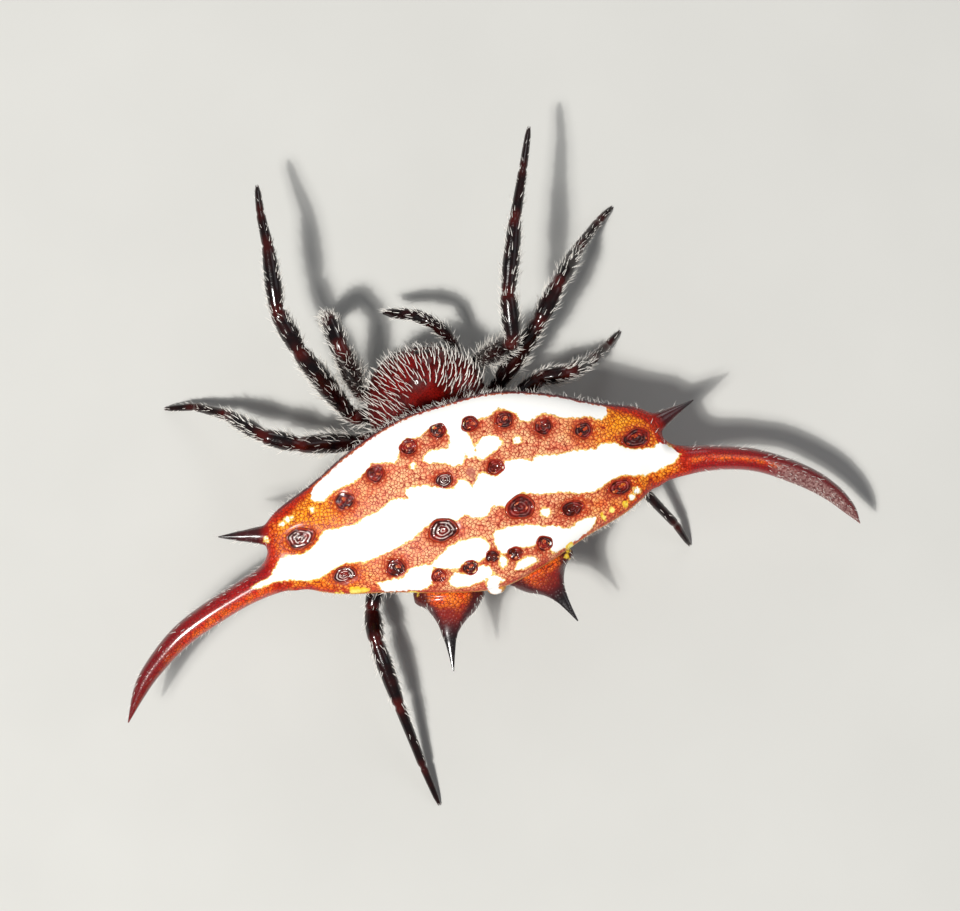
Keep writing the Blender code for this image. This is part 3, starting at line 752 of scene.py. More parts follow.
REAR_MIDDLE_STRIP = (
    (1.44, 1.49), (1.24, 1.36), (0.88, 1.56), (0.65, 1.53), (0.41, 1.37), (0.15, 1.48), (0.15, 1.71),
    (0.44, 1.82), (0.88, 1.88), (1.34, 1.81), (1.49, 1.64),
)
REAR_RIGHT_STRIP = (
    (-0.56, 1.81), (-0.68, 1.62), (-1.00, 1.52), (-1.25, 1.56), (-1.29, 1.73), (-0.91, 1.82),
)
REAR_DROP = ((-0.23, 1.27), (-0.43, 1.39), (-0.37, 1.57), (-0.22, 1.65), (-0.16, 1.54))
WHITE_PATCHES = (FRONT_BAND, MAIN_BAND, FRONT_ISLAND, REAR_LEFT_ISLAND, REAR_RIGHT_ISLAND,
                 REAR_LEFT_STRIP, REAR_MIDDLE_STRIP, REAR_RIGHT_STRIP, REAR_DROP)
# x, y and radius of small round spots: white marks of the shell, and the first five, along the left
# front rim, painted highlights on its ridge
WHITE_SPOTS_AND_GLINTS = ((6.57, -1.21, 0.07), (5.98, -1.56, 0.06), (5.80, -1.64, 0.08), (5.62, -1.68, 0.05),
               (4.96, -1.74, 0.07), (1.58, -2.16, 0.09), (-1.74, -2.04, 0.12), (0.18, 1.97, 0.22),
               (-1.95, 0.34, 0.14), (-4.88, 0.48, 0.09), (-4.67, 0.64, 0.08))
YELLOW_SPOTS = ((2.72, 1.66, 0.17), (2.52, 1.70, 0.10), (-2.43, 1.61, 0.15), (-2.19, 1.86, 0.08),
                (4.30, 1.08, 0.10), (4.46, 1.05, 0.10), (4.12, 1.11, 0.08), (3.96, 1.13, 0.07),
                (4.78, 1.02, 0.07), (4.93, 0.98, 0.08), (-3.97, 0.86, 0.14), (-3.67, 1.00, 0.11),
                (-4.43, 0.80, 0.08))
PINK_SPOTS = ((-0.09, -1.48, 0.15), (-0.14, -1.20, 0.06), (-0.16, -1.04, 0.04), (1.15, -3.55, 0.08),
              (-0.02, -2.74, 0.05), (-0.07, -2.01, 0.05))
BROWN_SPOTS = ((-0.08, 2.16, 0.15), (0.35, 1.90, 0.05))
# x, y, length, width and whether the middle has pale rings, partly painted highlight
SIGILLA = (
    (5.54, -0.98, 0.95, 0.68, 1), (3.91, -1.70, 0.66, 0.58, 0), (2.76, -2.24, 0.62, 0.56, 0),
    (1.54, -2.76, 0.60, 0.54, 0), (0.54, -2.99, 0.56, 0.50, 0), (-0.47, -2.92, 0.58, 0.52, 0),
    (-1.52, -2.75, 0.62, 0.56, 0), (-2.62, -2.21, 0.62, 0.56, 0), (-3.79, -1.77, 0.62, 0.54, 0),
    (-5.30, -1.08, 0.95, 0.62, 0), (0.78, -1.48, 0.60, 0.50, 1), (-0.85, -1.43, 0.60, 0.52, 0),
    (1.24, 0.00, 0.98, 0.76, 1), (-1.25, -0.02, 0.95, 0.78, 0), (4.54, 0.47, 0.80, 0.52, 1),
    (2.96, 0.70, 0.66, 0.60, 0), (1.75, 1.31, 0.50, 0.44, 0), (0.75, 1.34, 0.52, 0.48, 0),
    (0.00, 1.20, 0.46, 0.42, 0), (-0.71, 1.31, 0.50, 0.46, 0), (-1.66, 1.26, 0.54, 0.50, 0),
    (-2.79, 0.46, 0.78, 0.52, 0), (-4.40, 0.24, 0.80, 0.52, 0),
)
print("white patches:", len(WHITE_PATCHES), "sigilla:", len(SIGILLA))

# %% Distances to the outlines
def inside_by(points, outline):
    """How far each point lies inside an outline seen from above, less than 0 outside it."""
    start = np.asarray(outline, float)
    edge = np.roll(start, -1, axis=0) - start
    from_start = points[:, None, :2] - start
    along = np.clip((from_start * edge).sum(2) / (edge**2).sum(1), 0, 1)
    gap = np.linalg.norm(from_start - along[..., None] * edge, axis=2).min(1)
    above = from_start[..., 1] < 0
    crossed = above != np.roll(above, -1, axis=1)
    slope = edge[:, 0] / np.where(edge[:, 1] == 0, 1e-9, edge[:, 1])
    crossed &= from_start[..., 0] < from_start[..., 1] * slope
    return np.where(crossed.sum(1) % 2 == 1, gap, -gap)


def inside_spots(points, spots):
    """How far each point lies inside the nearest round spot."""
    return np.max([r - np.hypot(points[:, 0] - x, points[:, 1] - y) for x, y, r in spots], axis=0)


def inside_sigilla(points):
    """How far each point lies inside the nearest sigillum."""
    rows = []
    for x, y, length, width, _ in SIGILLA:
        share = np.hypot((points[:, 0] - x) / length, (points[:, 1] - y) / width) * 2
        rows.append((1 - share) * width / 2)
    return np.max(rows, axis=0)


# %% Places on the shield
# where the lines on the horns begin, where the shield's own colours end, and where the left
# horn bends down so far that its gloss is leaned back
HORN_LINES_FROM = 6.2
HORN_COLOUR_FROM = 6.5
SHIELD_END = 6.6
BEND_FROM = 9.3
LEAN_BACK = (0.018, 0.0005)
# how far the marks reach down the shell's sides: white in front and behind, and yellow
WHITE_DOWN = (0.32, 0.18)
YELLOW_DOWN = 0.34

points = points_of(shield)
place = np.interp(points[:, 0], centre_line[:, 0], np.arange(len(centre_line))).astype(int)
far_out = np.abs(points[:, 0]) > HORN_LINES_FROM
place[far_out] = nearest_on(points[far_out], centre_line[::8])[0] * 8
from_centre = points - centre_line[place]
across = (from_centre * backward[place]).sum(1) / np.maximum(fine[place, 3], 0.05)
lift = (from_centre * upward[place]).sum(1)
on_spine = with_finish(shield, "horn_tip")
spine_share = np.zeros(len(points))
flank = np.zeros(len(points))
front_spine = np.zeros(len(points))
best = np.full(len(points), 9.0)
for name in ("front_spine_left", "front_spine_right", "rear_spine_left", "rear_spine_right"):
    line, shares = lines[name]
    index, gap = nearest_on(points, line)
    closer = on_spine & (gap < best)
    spine_share[closer] = shares[index[closer]]
    girth = radii_through(FRONT_GIRTH if name.startswith("front") else REAR_GIRTH)
    aside = np.abs(np.cross(np.gradient(line, axis=0)[index, :2], (points - line[index])[:, :2]))
    aside /= np.linalg.norm(np.gradient(line, axis=0)[index, :2], axis=1)
    flank[closer] = (aside / girth(shares[index]))[closer]
    front_spine[closer] = name.startswith("front")
    best[closer] = gap[closer]
on_left = points[:, 0] > 0
side_reach = np.abs(points[:, 0])
walked_line = np.concatenate(([0], np.cumsum(np.linalg.norm(np.diff(centre_line, axis=0), axis=1))))
walked = walked_line[place] + (from_centre * tangent[place]).sum(1)
bend_at = np.interp(BEND_FROM, centre_line[:, 0], walked_line)
past_bend = np.clip(walked - bend_at, 0, None) * on_left
tips = np.where(on_left, LEFT_HORN[-1][0], RIGHT_HORN[-1][0])
white = np.max([inside_by(points, outline) for outline in WHITE_PATCHES], axis=0)
# the round spots add white marks and the painted highlights along the left front rim
white = np.maximum(white, inside_spots(points, WHITE_SPOTS_AND_GLINTS))
white = np.minimum(white, lift - np.where(across < 0, *WHITE_DOWN))
on_knob = inside_spots(points, (KNOB,))
near_knob = (on_knob > -0.1) & (lift > -0.35) & (points[:, 1] > 1.9)
white = np.where(near_knob, np.maximum(white, on_knob), white)
white = np.minimum(white, -inside_spots(points, BROWN_SPOTS))
store(
    shield,
    white=np.clip(white, -1, 1),
    plate=np.clip(inside_sigilla(points), -1, 1),
    yellow=np.clip(np.minimum(inside_spots(points, YELLOW_SPOTS), lift + YELLOW_DOWN), -1, 1),
    pink=np.clip(inside_spots(points, PINK_SPOTS), -1, 1),
    rim=np.clip((1 - np.abs(across)) * fine[place, 3], -0.2, 3),
    outward=side_reach / SHIELD_END,
    across=np.clip(across, -1.2, 1.2),
    horn=np.clip((side_reach - HORN_COLOUR_FROM) / (tips - HORN_COLOUR_FROM), 0, 1) * (1 - on_spine),
    shoulder=ramp(side_reach / np.where(on_left, 1, RIGHT_SHARE), 5.5, SHIELD_END) * (1 - on_spine),
    glow=np.exp(-(((across - np.where(on_left, 0.55, 0.0)) / np.where(on_left, 0.42, 0.20)) ** 2)),
    grey=ramp(-points[:, 0], 8.9, 9.6) * ramp(across, -0.55, 0.05),
    spine=spine_share,
    front_spine=front_spine,
    flank=np.clip(flank, 0, 1.2),
    tilt=LEAN_BACK[0] * past_bend**2 + LEAN_BACK[1] * past_bend**4,
    under=ramp(-lift, 0.15, 0.7) * ramp(-normals_of(shield)[:, 2], -0.1, 0.5) * (1 - on_spine),
)
for face in shield.data.polygons:
    if shield.data.materials[face.material_index].name == "horn_tip":
        face.material_index = 0
print("white share of the points:", round(float((white > 0).mean()), 3))

# %% Sink the shell under each sigillum
PIT_DEPTH = 0.05
pit = ramp(inside_sigilla(points), -0.12, 0.06) * PIT_DEPTH * (lift > 0)
sunk = points - normals_of(shield) * pit[:, None]
shield.data.vertices.foreach_set("co", to_model(sunk).ravel())
shield.data.update()
print("pits:", len(SIGILLA))

# %% [markdown]
# ## Sigilla
# Each plate is a small hard disc with rings like a shallow dish. One is modelled by insets
# from a circle, each inset raised or lowered a little, and copied to every place. Each copy
# is stretched to its oval and laid on the shell, with small waves of its own, so that the
# lamp catches each one differently.

# %% One sigillum
DISH_SIDES = 40
RIM_RISE = 0.12
# inset and rise of each ring, in shares of the radius
DISH = ((0.06, 0.14), (0.07, 0.04), (0.08, -0.10), (0.09, -0.05), (0.08, 0.08), (0.09, -0.02),
        (0.10, -0.08), (0.09, 0.07), (0.10, 0.02), (0.10, -0.05))
bpy.ops.mesh.primitive_circle_add(vertices=DISH_SIDES, radius=MM, fill_type="NGON", location=(0, 0, 0))
plate = bpy.context.object
plate.name = "sigillum"
bpy.ops.object.mode_set(mode="EDIT")
bpy.ops.mesh.select_mode(type="FACE")
bpy.ops.mesh.select_all(action="SELECT")
bpy.ops.mesh.extrude_region_move(TRANSFORM_OT_translate={"value": (0, 0, RIM_RISE * MM)})
for inset, rise in DISH:
    bpy.ops.mesh.inset(thickness=inset * MM)
    bpy.ops.transform.translate(value=(0, 0, rise * MM))
bpy.ops.mesh.poke()
bpy.ops.mesh.select_all(action="SELECT")
close_outwards()
print("one sigillum:", len(plate.data.polygons), "faces")

# %% Copies laid on the shield
def surface_of(obj):
    """A mesh as a surface that rays can hit."""
    return BVHTree.FromPolygons([v.co for v in obj.data.vertices],
                                [tuple(f.vertices) for f in obj.data.polygons])


def join(name, pieces):
    """One object from several."""
    only(pieces[0])
    for piece in pieces:
        piece.select_set(True)
    bpy.ops.object.join()
    pieces[0].name = name
    only(pieces[0])
    bpy.ops.object.transform_apply(location=True, rotation=True, scale=True)
    return pieces[0]


# how strongly a plain and a pale sigillum are dished, how lumpy a plain one is, and how deep
# each is set into the shell
RELIEF = (0.55, 0.85)
LUMPS = 0.035
SET_IN = 0.015
ABOVE_ALL = 9.0
DOWN = Vector((0, 0, -1))

shell_surface = surface_of(shield)
dish = points_of(plate) - (*FOOTPRINT_MIDDLE, 0.0)
ring_share = np.hypot(dish[:, 0], dish[:, 1])
angle = np.arctan2(dish[:, 1], dish[:, 0])
random = np.random.default_rng(23)
copies = []
for x, y, length, width, pale in SIGILLA:
    copy = bpy.data.objects.new("plate", plate.data.copy())
    bpy.context.scene.collection.objects.link(copy)
    turn = random.uniform(0, 2 * math.pi)
    wobble = 1 + 0.05 * np.sin(3 * angle + turn) + 0.03 * np.sin(5 * angle - 2 * turn)
    wave = 0.012 * np.sin(4 * angle + turn) * ring_share + random.normal(0, 0.0025, len(dish))
    lumps = np.sin(dish[:, 0] * 5 + turn) * np.cos(dish[:, 1] * 6 - turn) * (1 - ring_share**2)
    wave = wave + LUMPS * lumps * (1 - pale)
    flat = (x, y) + dish[:, :2] * (length, width) / 2 * wobble[:, None]
    laid = []
    for (px, py), height in zip(flat, dish[:, 2] * width / 2 * RELIEF[pale] + wave):
        start = Vector(to_model((px, py, ABOVE_ALL)))
        hit, normal, _, _ = shell_surface.ray_cast(start, DOWN)
        laid.append(hit + normal * (height - SET_IN) * MM)
    copy.data.vertices.foreach_set("co", np.array(laid).ravel())
    store(copy, ring=ring_share, pale=np.full(len(dish), float(pale)))
    copies.append(copy)
bpy.data.objects.remove(plate, do_unlink=True)
sigilla = join("sigilla", copies)
sigilla.data.materials.append(finishes["sigilla_shell"].material)
bpy.ops.object.shade_smooth()
print("sigilla:", len(sigilla.data.polygons), "faces")

# %% [markdown]
# ## Head, breast and legs
# The front half is a domed carapace over a flat breast plate, with four pairs of legs
# rooted between them. Each is a closed form, and joining them all gives one skin with no
# seam and no gap at the hips. The feet end thinner than the solids do, as real feet do.

# %% Carapace and sternum
PROSOMA = (0.62, -4.00)
HEADING = math.radians(10)
RIM_HEIGHT = 2.05
HEAD_HALF_WIDTH = 0.85
# distance ahead, half width, arch and hump
CARAPACE = (
    (1.71, 0.20, 0.18, 0.02),
    (1.68, 0.42, 0.38, 0.06),
    (1.60, 0.74, 0.59, 0.15),
    (1.40, 1.15, 0.73, 0.30),
    (1.00, 1.58, 0.81, 0.42),
    (0.50, 1.79, 0.83, 0.40),
    (0.00, 1.86, 0.81, 0.22),
    (-0.45, 1.85, 0.73, 0.06),
    (-0.90, 1.69, 0.57, 0.00),
    (-1.22, 1.29, 0.37, 0.00),
    (-1.42, 0.78, 0.21, 0.00),
    (-1.47, 0.40, 0.10, 0.00),
)
STERNUM_SIZE = (0.92, 1.22)
STERNUM_AHEAD = -0.45
STERNUM_LEVELS = ((0.99, 0.55), (1.0, 0.74), (1.08, 0.92), (1.30, 0.99), (1.60, 0.96), (1.98, 0.80))


def from_prosoma(side, ahead, height):
    """A point given from the prosoma's middle, with the ground at height 0."""
    return (
        PROSOMA[0] + side * math.cos(HEADING) - ahead * math.sin(HEADING),
        PROSOMA[1] - side * math.sin(HEADING) - ahead * math.cos(HEADING),
        height,
    )


def carapace_rings(steps=72, sides=72):
    """Sections of the carapace from the face to the waist, with its furrows."""
    rings = []
    for ahead, width, arch, hump in curve_rows(CARAPACE, np.linspace(0, len(CARAPACE) - 1, steps)):
        ring = []
        for angle in np.linspace(0, 2 * math.pi, sides, endpoint=False):
            side = width * math.cos(angle)
            lift = math.sin(angle)
            if lift >= 0:
                head = hump * math.exp(-((side / HEAD_HALF_WIDTH) ** 4))
                furrow = 0.07 * math.exp(-(((abs(side) - 0.55 - 0.35 * ahead) / 0.16) ** 2))
                furrow *= math.exp(-(((ahead - 0.35) / 0.6) ** 2))
                pit = 0.09 * math.exp(-((side / 0.22) ** 2) - ((ahead + 0.35) / 0.24) ** 2)
                rise = (arch + head - furrow - pit) * lift
            else:
                rise = 0.10 * lift
            ring.append(from_prosoma(side, ahead, RIM_HEIGHT + rise))
        rings.append(ring)
    return rings


def sternum_rings(sides=48):
    """Flat slices of the heart-shaped plate between the hips, up into the body."""
    rings = []
    for height, share in STERNUM_LEVELS:
        ring = []
        for angle in np.linspace(0, 2 * math.pi, sides, endpoint=False):
            ahead = math.sin(angle)
            side = math.cos(angle) * (1 + 0.18 * ahead)
            ring.append(from_prosoma(side * STERNUM_SIZE[0] * share,
                                     STERNUM_AHEAD + ahead * STERNUM_SIZE[1] * share, height))
        rings.append(ring)
    return rings


skin = cover("skin", carapace_rings(), finishes["carapace_shell"])
front_parts = [cover("breast_plate", sternum_rings(), finishes["belly_shell"])]
print("carapace:", len(skin.data.polygons), "faces")

# %% Legs
HIP_HEIGHTS = (1.30, 1.45)
# root and hip as side and ahead of the prosoma, then the ends of femur, patella, tibia,
# metatarsus and tarsus as x, y, z
LEGS = {
    "left_1": ((0.75, 0.30), (2.03, 0.40),
               (2.72, -6.30, 3.35), (2.83, -7.34, 2.75), (2.98, -7.20, 0.85),
               (2.92, -5.95, 0.30), (2.80, -5.20, 0.07)),
    "left_2": ((0.88, -0.25), (2.37, -0.27),
               (4.00, -6.56, 3.00), (4.31, -7.95, 3.40), (4.02, -9.99, 3.50),
               (3.97, -11.00, 3.15), (3.85, -11.80, 2.75)),
    "left_3": ((0.82, -0.80), (2.08, -1.06),
               (4.82, -3.78, 2.30), (5.80, -4.34, 2.40), (6.72, -5.30, 1.30),
               (7.65, -5.84, 0.50), (8.50, -6.02, 0.07)),
    "left_4": ((0.50, -1.25), (1.05, -2.00),
               (4.07, 1.77, 1.50), (4.21, 2.74, 1.85), (4.08, 4.87, 1.45),
               (3.90, 6.95, 0.55), (3.76, 8.17, 0.07)),
    "right_1": ((-0.75, 0.34), (-1.66, 1.04),
                (-2.48, -5.02, 4.00), (-2.72, -6.47, 4.20), (-3.58, -8.65, 3.80),
                (-4.24, -10.06, 3.25), (-4.76, -11.22, 2.60)),
    "right_2": ((-0.88, -0.26), (-2.12, 0.09),
                (-3.42, -5.40, 2.65), (-4.30, -6.34, 2.60), (-5.24, -7.26, 1.35),
                (-6.08, -7.90, 0.42), (-6.56, -8.19, 0.07)),
    "right_3": ((-0.82, -0.81), (-2.20, -0.68),
                (-2.95, -3.70, 2.05), (-3.90, -3.62, 2.15), (-4.65, -3.80, 1.15),
                (-5.25, -4.10, 0.45), (-5.72, -4.38, 0.07)),
    "right_4": ((-0.50, -1.25), (-1.38, -1.72),
                (-3.50, -0.72, 0.95), (-4.25, -0.42, 1.20), (-5.02, 0.42, 1.85),
                (-5.78, 1.85, 0.70), (-6.02, 2.56, 0.07)),
}
SEGMENTS = (
    ((0.0, 0.21), (0.5, 0.25), (0.9, 0.25), (1.0, 0.23)),
    ((0.02, 0.21), (0.06, 0.25), (0.11, 0.25), (0.13, 0.22), (0.2, 0.27), (0.45, 0.335),
     (0.75, 0.31), (0.93, 0.27), (0.985, 0.24), (1.0, 0.19)),
    ((0.02, 0.19), (0.08, 0.25), (0.45, 0.30), (0.85, 0.27), (0.95, 0.25), (1.0, 0.19)),
    ((0.01, 0.17), (0.05, 0.22), (0.35, 0.27), (0.7, 0.24), (0.93, 0.20), (0.98, 0.19), (1.0, 0.14)),
    ((0.01, 0.13), (0.05, 0.18), (0.3, 0.17), (0.7, 0.15), (0.95, 0.145), (1.0, 0.10)),
    ((0.02, 0.095), (0.08, 0.13), (0.5, 0.115), (0.85, 0.095), (1.0, 0.065)),
)
PAIR_GIRTH = (1.0, 1.0, 0.95, 0.97)


def leg_radii(path, size):
    """The radius along a whole leg, from the radii of each of its segments."""
    lengths = [math.dist(a, b) for a, b in zip(path, path[1:])]
    starts = np.concatenate(([0.0], np.cumsum(lengths)))
    stops = []
    for start, length, radii in zip(starts, lengths, SEGMENTS):
        stops += [((start + length * s) / starts[-1], r * size) for s, r in radii]
    return radii_through(stops)


feet = {}
for name, (root, hip, *joints) in LEGS.items():
    path = [from_prosoma(*root, HIP_HEIGHTS[0]), from_prosoma(*hip, HIP_HEIGHTS[1]), *joints]
    radii = leg_radii(path, PAIR_GIRTH[int(name[-1]) - 1])
    front_parts.append(tube(f"leg_{name}", path, radii, finishes["leg_shell"], 18))
    feet[name] = (np.array(joints[-2]), np.array(joints[-1]))
print("legs:", len(LEGS))

# %% Palps, jaws and waist
PALPS = {
    "left": ((0.50, 0.70, 1.42), (0.80, 0.95, 1.50), (1.08, 1.14, 1.42), (1.16, 1.26, 0.98),
             (1.04, 1.30, 0.60), (0.80, 0.98, 0.38), (0.55, 0.55, 0.32)),
    "right": ((-0.48, 0.74, 1.45), (-0.78, 1.04, 1.55), (-1.06, 1.48, 1.53), (-0.82, 2.03, 1.88),
              (-0.40, 2.43, 2.28), (0.13, 2.71, 2.12), (1.05, 2.88, 1.62)),
}
PALP_GIRTH = ((0.0, 0.16), (0.2, 0.19), (0.33, 0.20), (0.36, 0.16), (0.4, 0.20), (0.52, 0.205),
              (0.56, 0.16), (0.6, 0.20), (0.72, 0.20), (0.75, 0.155), (0.8, 0.185), (0.92, 0.16),
              (1.0, 0.07))
JAW_PATH = ((0.40, 1.28, 2.40), (0.40, 1.44, 1.90), (0.40, 1.53, 1.35), (0.37, 1.53, 0.95))
JAW_GIRTH = ((0.0, 0.25), (0.3, 0.29), (0.6, 0.285), (0.85, 0.25), (1.0, 0.16))
FANG_PATH = ((0.37, 1.58, 0.98), (0.34, 1.60, 0.82), (0.27, 1.45, 0.70), (0.20, 1.28, 0.72))
FANG_GIRTH = ((0.0, 0.085), (0.4, 0.065), (1.0, 0.012))
PEDICEL_PATH = ((0.82, -3.00, 2.02), (0.62, -2.30, 2.25), (0.42, -1.40, 2.85))
WAIST_GIRTH = ((0.0, 0.27), (1.0, 0.27))

fangs = []
for word, sign in (("left", 1), ("right", -1)):
    jaw_path, fang_path = ([from_prosoma(sign * s, a, h) for s, a, h in way]
                           for way in (JAW_PATH, FANG_PATH))
    front_parts.append(tube(f"jaw_{word}", jaw_path, radii_through(JAW_GIRTH),
                            finishes["jaw_shell"], 24))
    fangs.append(tube(f"fang_{word}", fang_path, radii_through(FANG_GIRTH),
                      finishes["jaw_shell"], 14, 0.04))
    path = [from_prosoma(*point) for point in PALPS[word]]
    front_parts.append(tube(f"palp_{word}", path, radii_through(PALP_GIRTH),
                            finishes["leg_shell"], 16))
front_parts.append(tube("waist", PEDICEL_PATH, radii_through(WAIST_GIRTH),
                        finishes["belly_shell"], 20))
head_surface = surface_of(skin)
unite(skin, front_parts)
soften(skin, 4, 1)
print("skin of the front half:", len(skin.data.polygons), "faces")

# %% [markdown]
# ## Eyes and claws
# Eight small eyes sit on the front of the head: four in a square in the middle, and a pair
# close together on each side. Each is a glossy bead, sunk to nearly half, in a low collar.
# Each foot ends in a pair of thin bent claws, with a shorter one between them.

# %% Eyes
# distance to the side, height and radius
EYES = ((0.15, 2.62, 0.085), (0.14, 2.94, 0.095), (0.80, 2.44, 0.075), (0.90, 2.58, 0.07))
# in shares of an eye's radius: how deep it sits, and its collar's two radii
EYE_SUNK = 0.25
COLLAR = (0.98, 0.26)
BEFORE_THE_FACE = 3.2
AHEAD = Vector((-math.sin(HEADING), -math.cos(HEADING), 0))

beads, collars = [], []
for sign in (1, -1):
    for side, height, radius in EYES:
        start = Vector(to_model(from_prosoma(sign * side, BEFORE_THE_FACE, height)))
        hit, normal, _, _ = head_surface.ray_cast(start, -AHEAD)
        middle = hit - normal * radius * EYE_SUNK * MM
        bpy.ops.mesh.primitive_uv_sphere_add(segments=28, ring_count=16, radius=radius * MM,
                                             location=middle)
        beads.append(bpy.context.object)
        turn = normal.to_track_quat("Z", "Y").to_euler()
        bpy.ops.mesh.primitive_torus_add(major_segments=28, minor_segments=10, location=hit,
                                         rotation=turn, major_radius=radius * COLLAR[0] * MM,
                                         minor_radius=radius * COLLAR[1] * MM)
        collars.append(bpy.context.object)
eyes = join("eyes", beads)
eyes.data.materials.append(finishes["eye_glass"].material)
bpy.ops.object.shade_smooth()
eye_rims = join("eye_rims", collars)
eye_rims.data.materials.append(finishes["jaw_shell"].material)
bpy.ops.object.shade_smooth()
print("eyes:", len(EYES) * 2)

# %% Claws
CLAW_LENGTH = 0.16
CLAW_BOW = 0.035
CLAW_GIRTH = ((0, 0.022), (0.5, 0.016), (1, 0.004))
ABOVE_FLOOR = 0.03
claws = []
for name, (before, end) in feet.items():
    ahead = (end - before) / np.linalg.norm(end - before)
    sideways = np.cross(ahead, (0, 0, 1.0))
    sideways /= np.linalg.norm(sideways)
    bow = np.cross(sideways, ahead) * CLAW_BOW
    for side, size in ((-1, 1.0), (0, 0.6), (1, 1.0)):
        root = end - ahead * 0.03 + sideways * side * 0.025
        reach = ahead * CLAW_LENGTH * size
        path = [root, root + reach * 0.45 + bow + sideways * side * 0.015,
                root + reach * 0.8 + bow * 0.6, root + reach - bow * 0.5]
        path = [(*p[:2], max(p[2], ABOVE_FLOOR)) for p in path]
        claws.append(tube(f"claw_{name}_{side}", path, radii_through(CLAW_GIRTH),
                          finishes["jaw_shell"], 8, 0.02))
claws = join("claws", claws)
bpy.ops.object.shade_smooth()
print("claws:", len(feet) * 3)

# %% [markdown]
# ## Numbers for the front half
# Each point of the skin belongs to the part whose middle line is nearest: a leg, a palp, a
# jaw, the waist, the breast plate or the carapace. Its place along that line and round it
# gives the lie of the hair and each hair's place on a flat sheet.

# %% Which part each point is on
def straight(first, last, height, count):
    """A straight line of places along the body's middle, and the share of each."""
    places = [from_prosoma(0, ahead, height) for ahead in np.linspace(first, last, count)]
    return np.array(places), np.linspace(0, 1, count)


LINE_STEP = 20
lines["carapace"] = straight(CARAPACE[-1][0], CARAPACE[0][0], RIM_HEIGHT, 40)
lines["breast_plate"] = straight(STERNUM_AHEAD - STERNUM_SIZE[1], STERNUM_AHEAD + STERNUM_SIZE[1],
                                 1.5, 30)
shield_line = centre_line[::LINE_STEP]
lines["shield"] = (shield_line, np.linspace(0, 1, len(shield_line)))
LEG_PARTS = [f"leg_{name}" for name in LEGS]
FRONT_PARTS = LEG_PARTS + ["palp_left", "palp_right", "jaw_left", "jaw_right", "waist",
                           "breast_plate", "carapace"]
SHIELD_PARTS = ["shield", "front_spine_left", "front_spine_right", "rear_spine_left",
                "rear_spine_right", "spinneret_cone"]
ALL_PARTS = FRONT_PARTS + SHIELD_PARTS


def assign(points, names, allowance):
    """For each point its part, and its nearest place on that part's line."""
    best = np.full(len(points), 99.0)
    part, place = np.zeros(len(points), int), np.zeros(len(points), int)
    for name in names:
        index, gap = nearest_on(points, lines[name][0])
        gap = gap - allowance.get(name, 0.2)
        closer = gap < best
        best[closer], place[closer] = gap[closer], index[closer]
        part[closer] = ALL_PARTS.index(name)
    return part, place


points = points_of(skin)
slim = dict.fromkeys(LEG_PARTS + ["jaw_left", "jaw_right"], 0.28) | {"breast_plate": 0.55}
part, place = assign(points, FRONT_PARTS[:-1], slim)
on_head = with_finish(skin, "carapace_shell")
head_line = lines["carapace"][0]
part[on_head] = ALL_PARTS.index("carapace")
place[on_head] = nearest_on(points[on_head], head_line)[0]
share = np.array([lines[ALL_PARTS[p]][1][i] for p, i in zip(part, place)])
joint = np.zeros(len(points))
foot = np.zeros(len(points))
for name, (root, hip, *ends) in LEGS.items():
    on_leg = part == ALL_PARTS.index(f"leg_{name}")
    bends = np.array([from_prosoma(*hip, HIP_HEIGHTS[1]), *ends[:-1]])
    joint[on_leg] = 1 - ramp(nearest_on(points[on_leg], bends)[1], 0.16, 0.42)
    foot[on_leg] = ramp(share[on_leg], 0.68, 0.86)
sidelong = np.array((math.cos(HEADING), -math.sin(HEADING), 0))
side = (points - head_line[20]) @ sidelong
ahead = (points - head_line[20]) @ np.array(AHEAD)
# The right first leg's shin is leaned back for its gloss alone, so it shines all along.
SHIN_START, SHIN_LENGTH, SHIN_LEAN = -6.5, 2.3, 0.31
lean = np.where(part == ALL_PARTS.index("leg_right_1"),
                SHIN_LEAN * np.clip(SHIN_START - points[:, 1], 0, SHIN_LENGTH), 0)
store(skin, joint=joint, foot=foot, lean=lean,
      edge=ramp(np.hypot(side / 1.85, ahead / 1.75), 0.7, 1.0))
print("points of the front half:", len(points))

# %% [markdown]
# ## Finishes
# Now the colours. Real chitin is a clear layer over dark pigment, so shiny parts get a
# coat over a rougher base. The shield is covered with fine beads, each a pale dot in a
# dark net, which a cell pattern gives; the pale dot is partly a painted highlight on the
# bead's top. White enamel covers the beads in the bands.

# %% Shield
BEAD_SIZE = 0.112
shell = finishes["shield_shell"]
white, plate_edge, yellow = shell.stored("white"), shell.stored("plate"), shell.stored("yellow")
rim, outward, across_wire = shell.stored("rim"), shell.stored("outward"), shell.stored("across")
horn, spine, under = shell.stored("horn"), shell.stored("spine"), shell.stored("under")
forward = 0 - across_wire
grey = shell.stored("grey")
bead = shell.cells(BEAD_SIZE).step(0.01, 0.14)
nearest_bead = shell.cells(BEAD_SIZE, "F1")
dome = 1 - nearest_bead.step(0.10, 0.60)
middle = 1 - nearest_bead.step(0.05, 0.42)
cloud = shell.noise(0.9)
speckle = shell.noise(0.3, 2.0)
ragged = (shell.noise(0.11, 2.0) - 0.5) * 0.17
white_here = (white + ragged).step(-0.014, 0.014)
fringe = (white + ragged).step(-0.06, -0.005)
shoulder = shell.stored("shoulder")

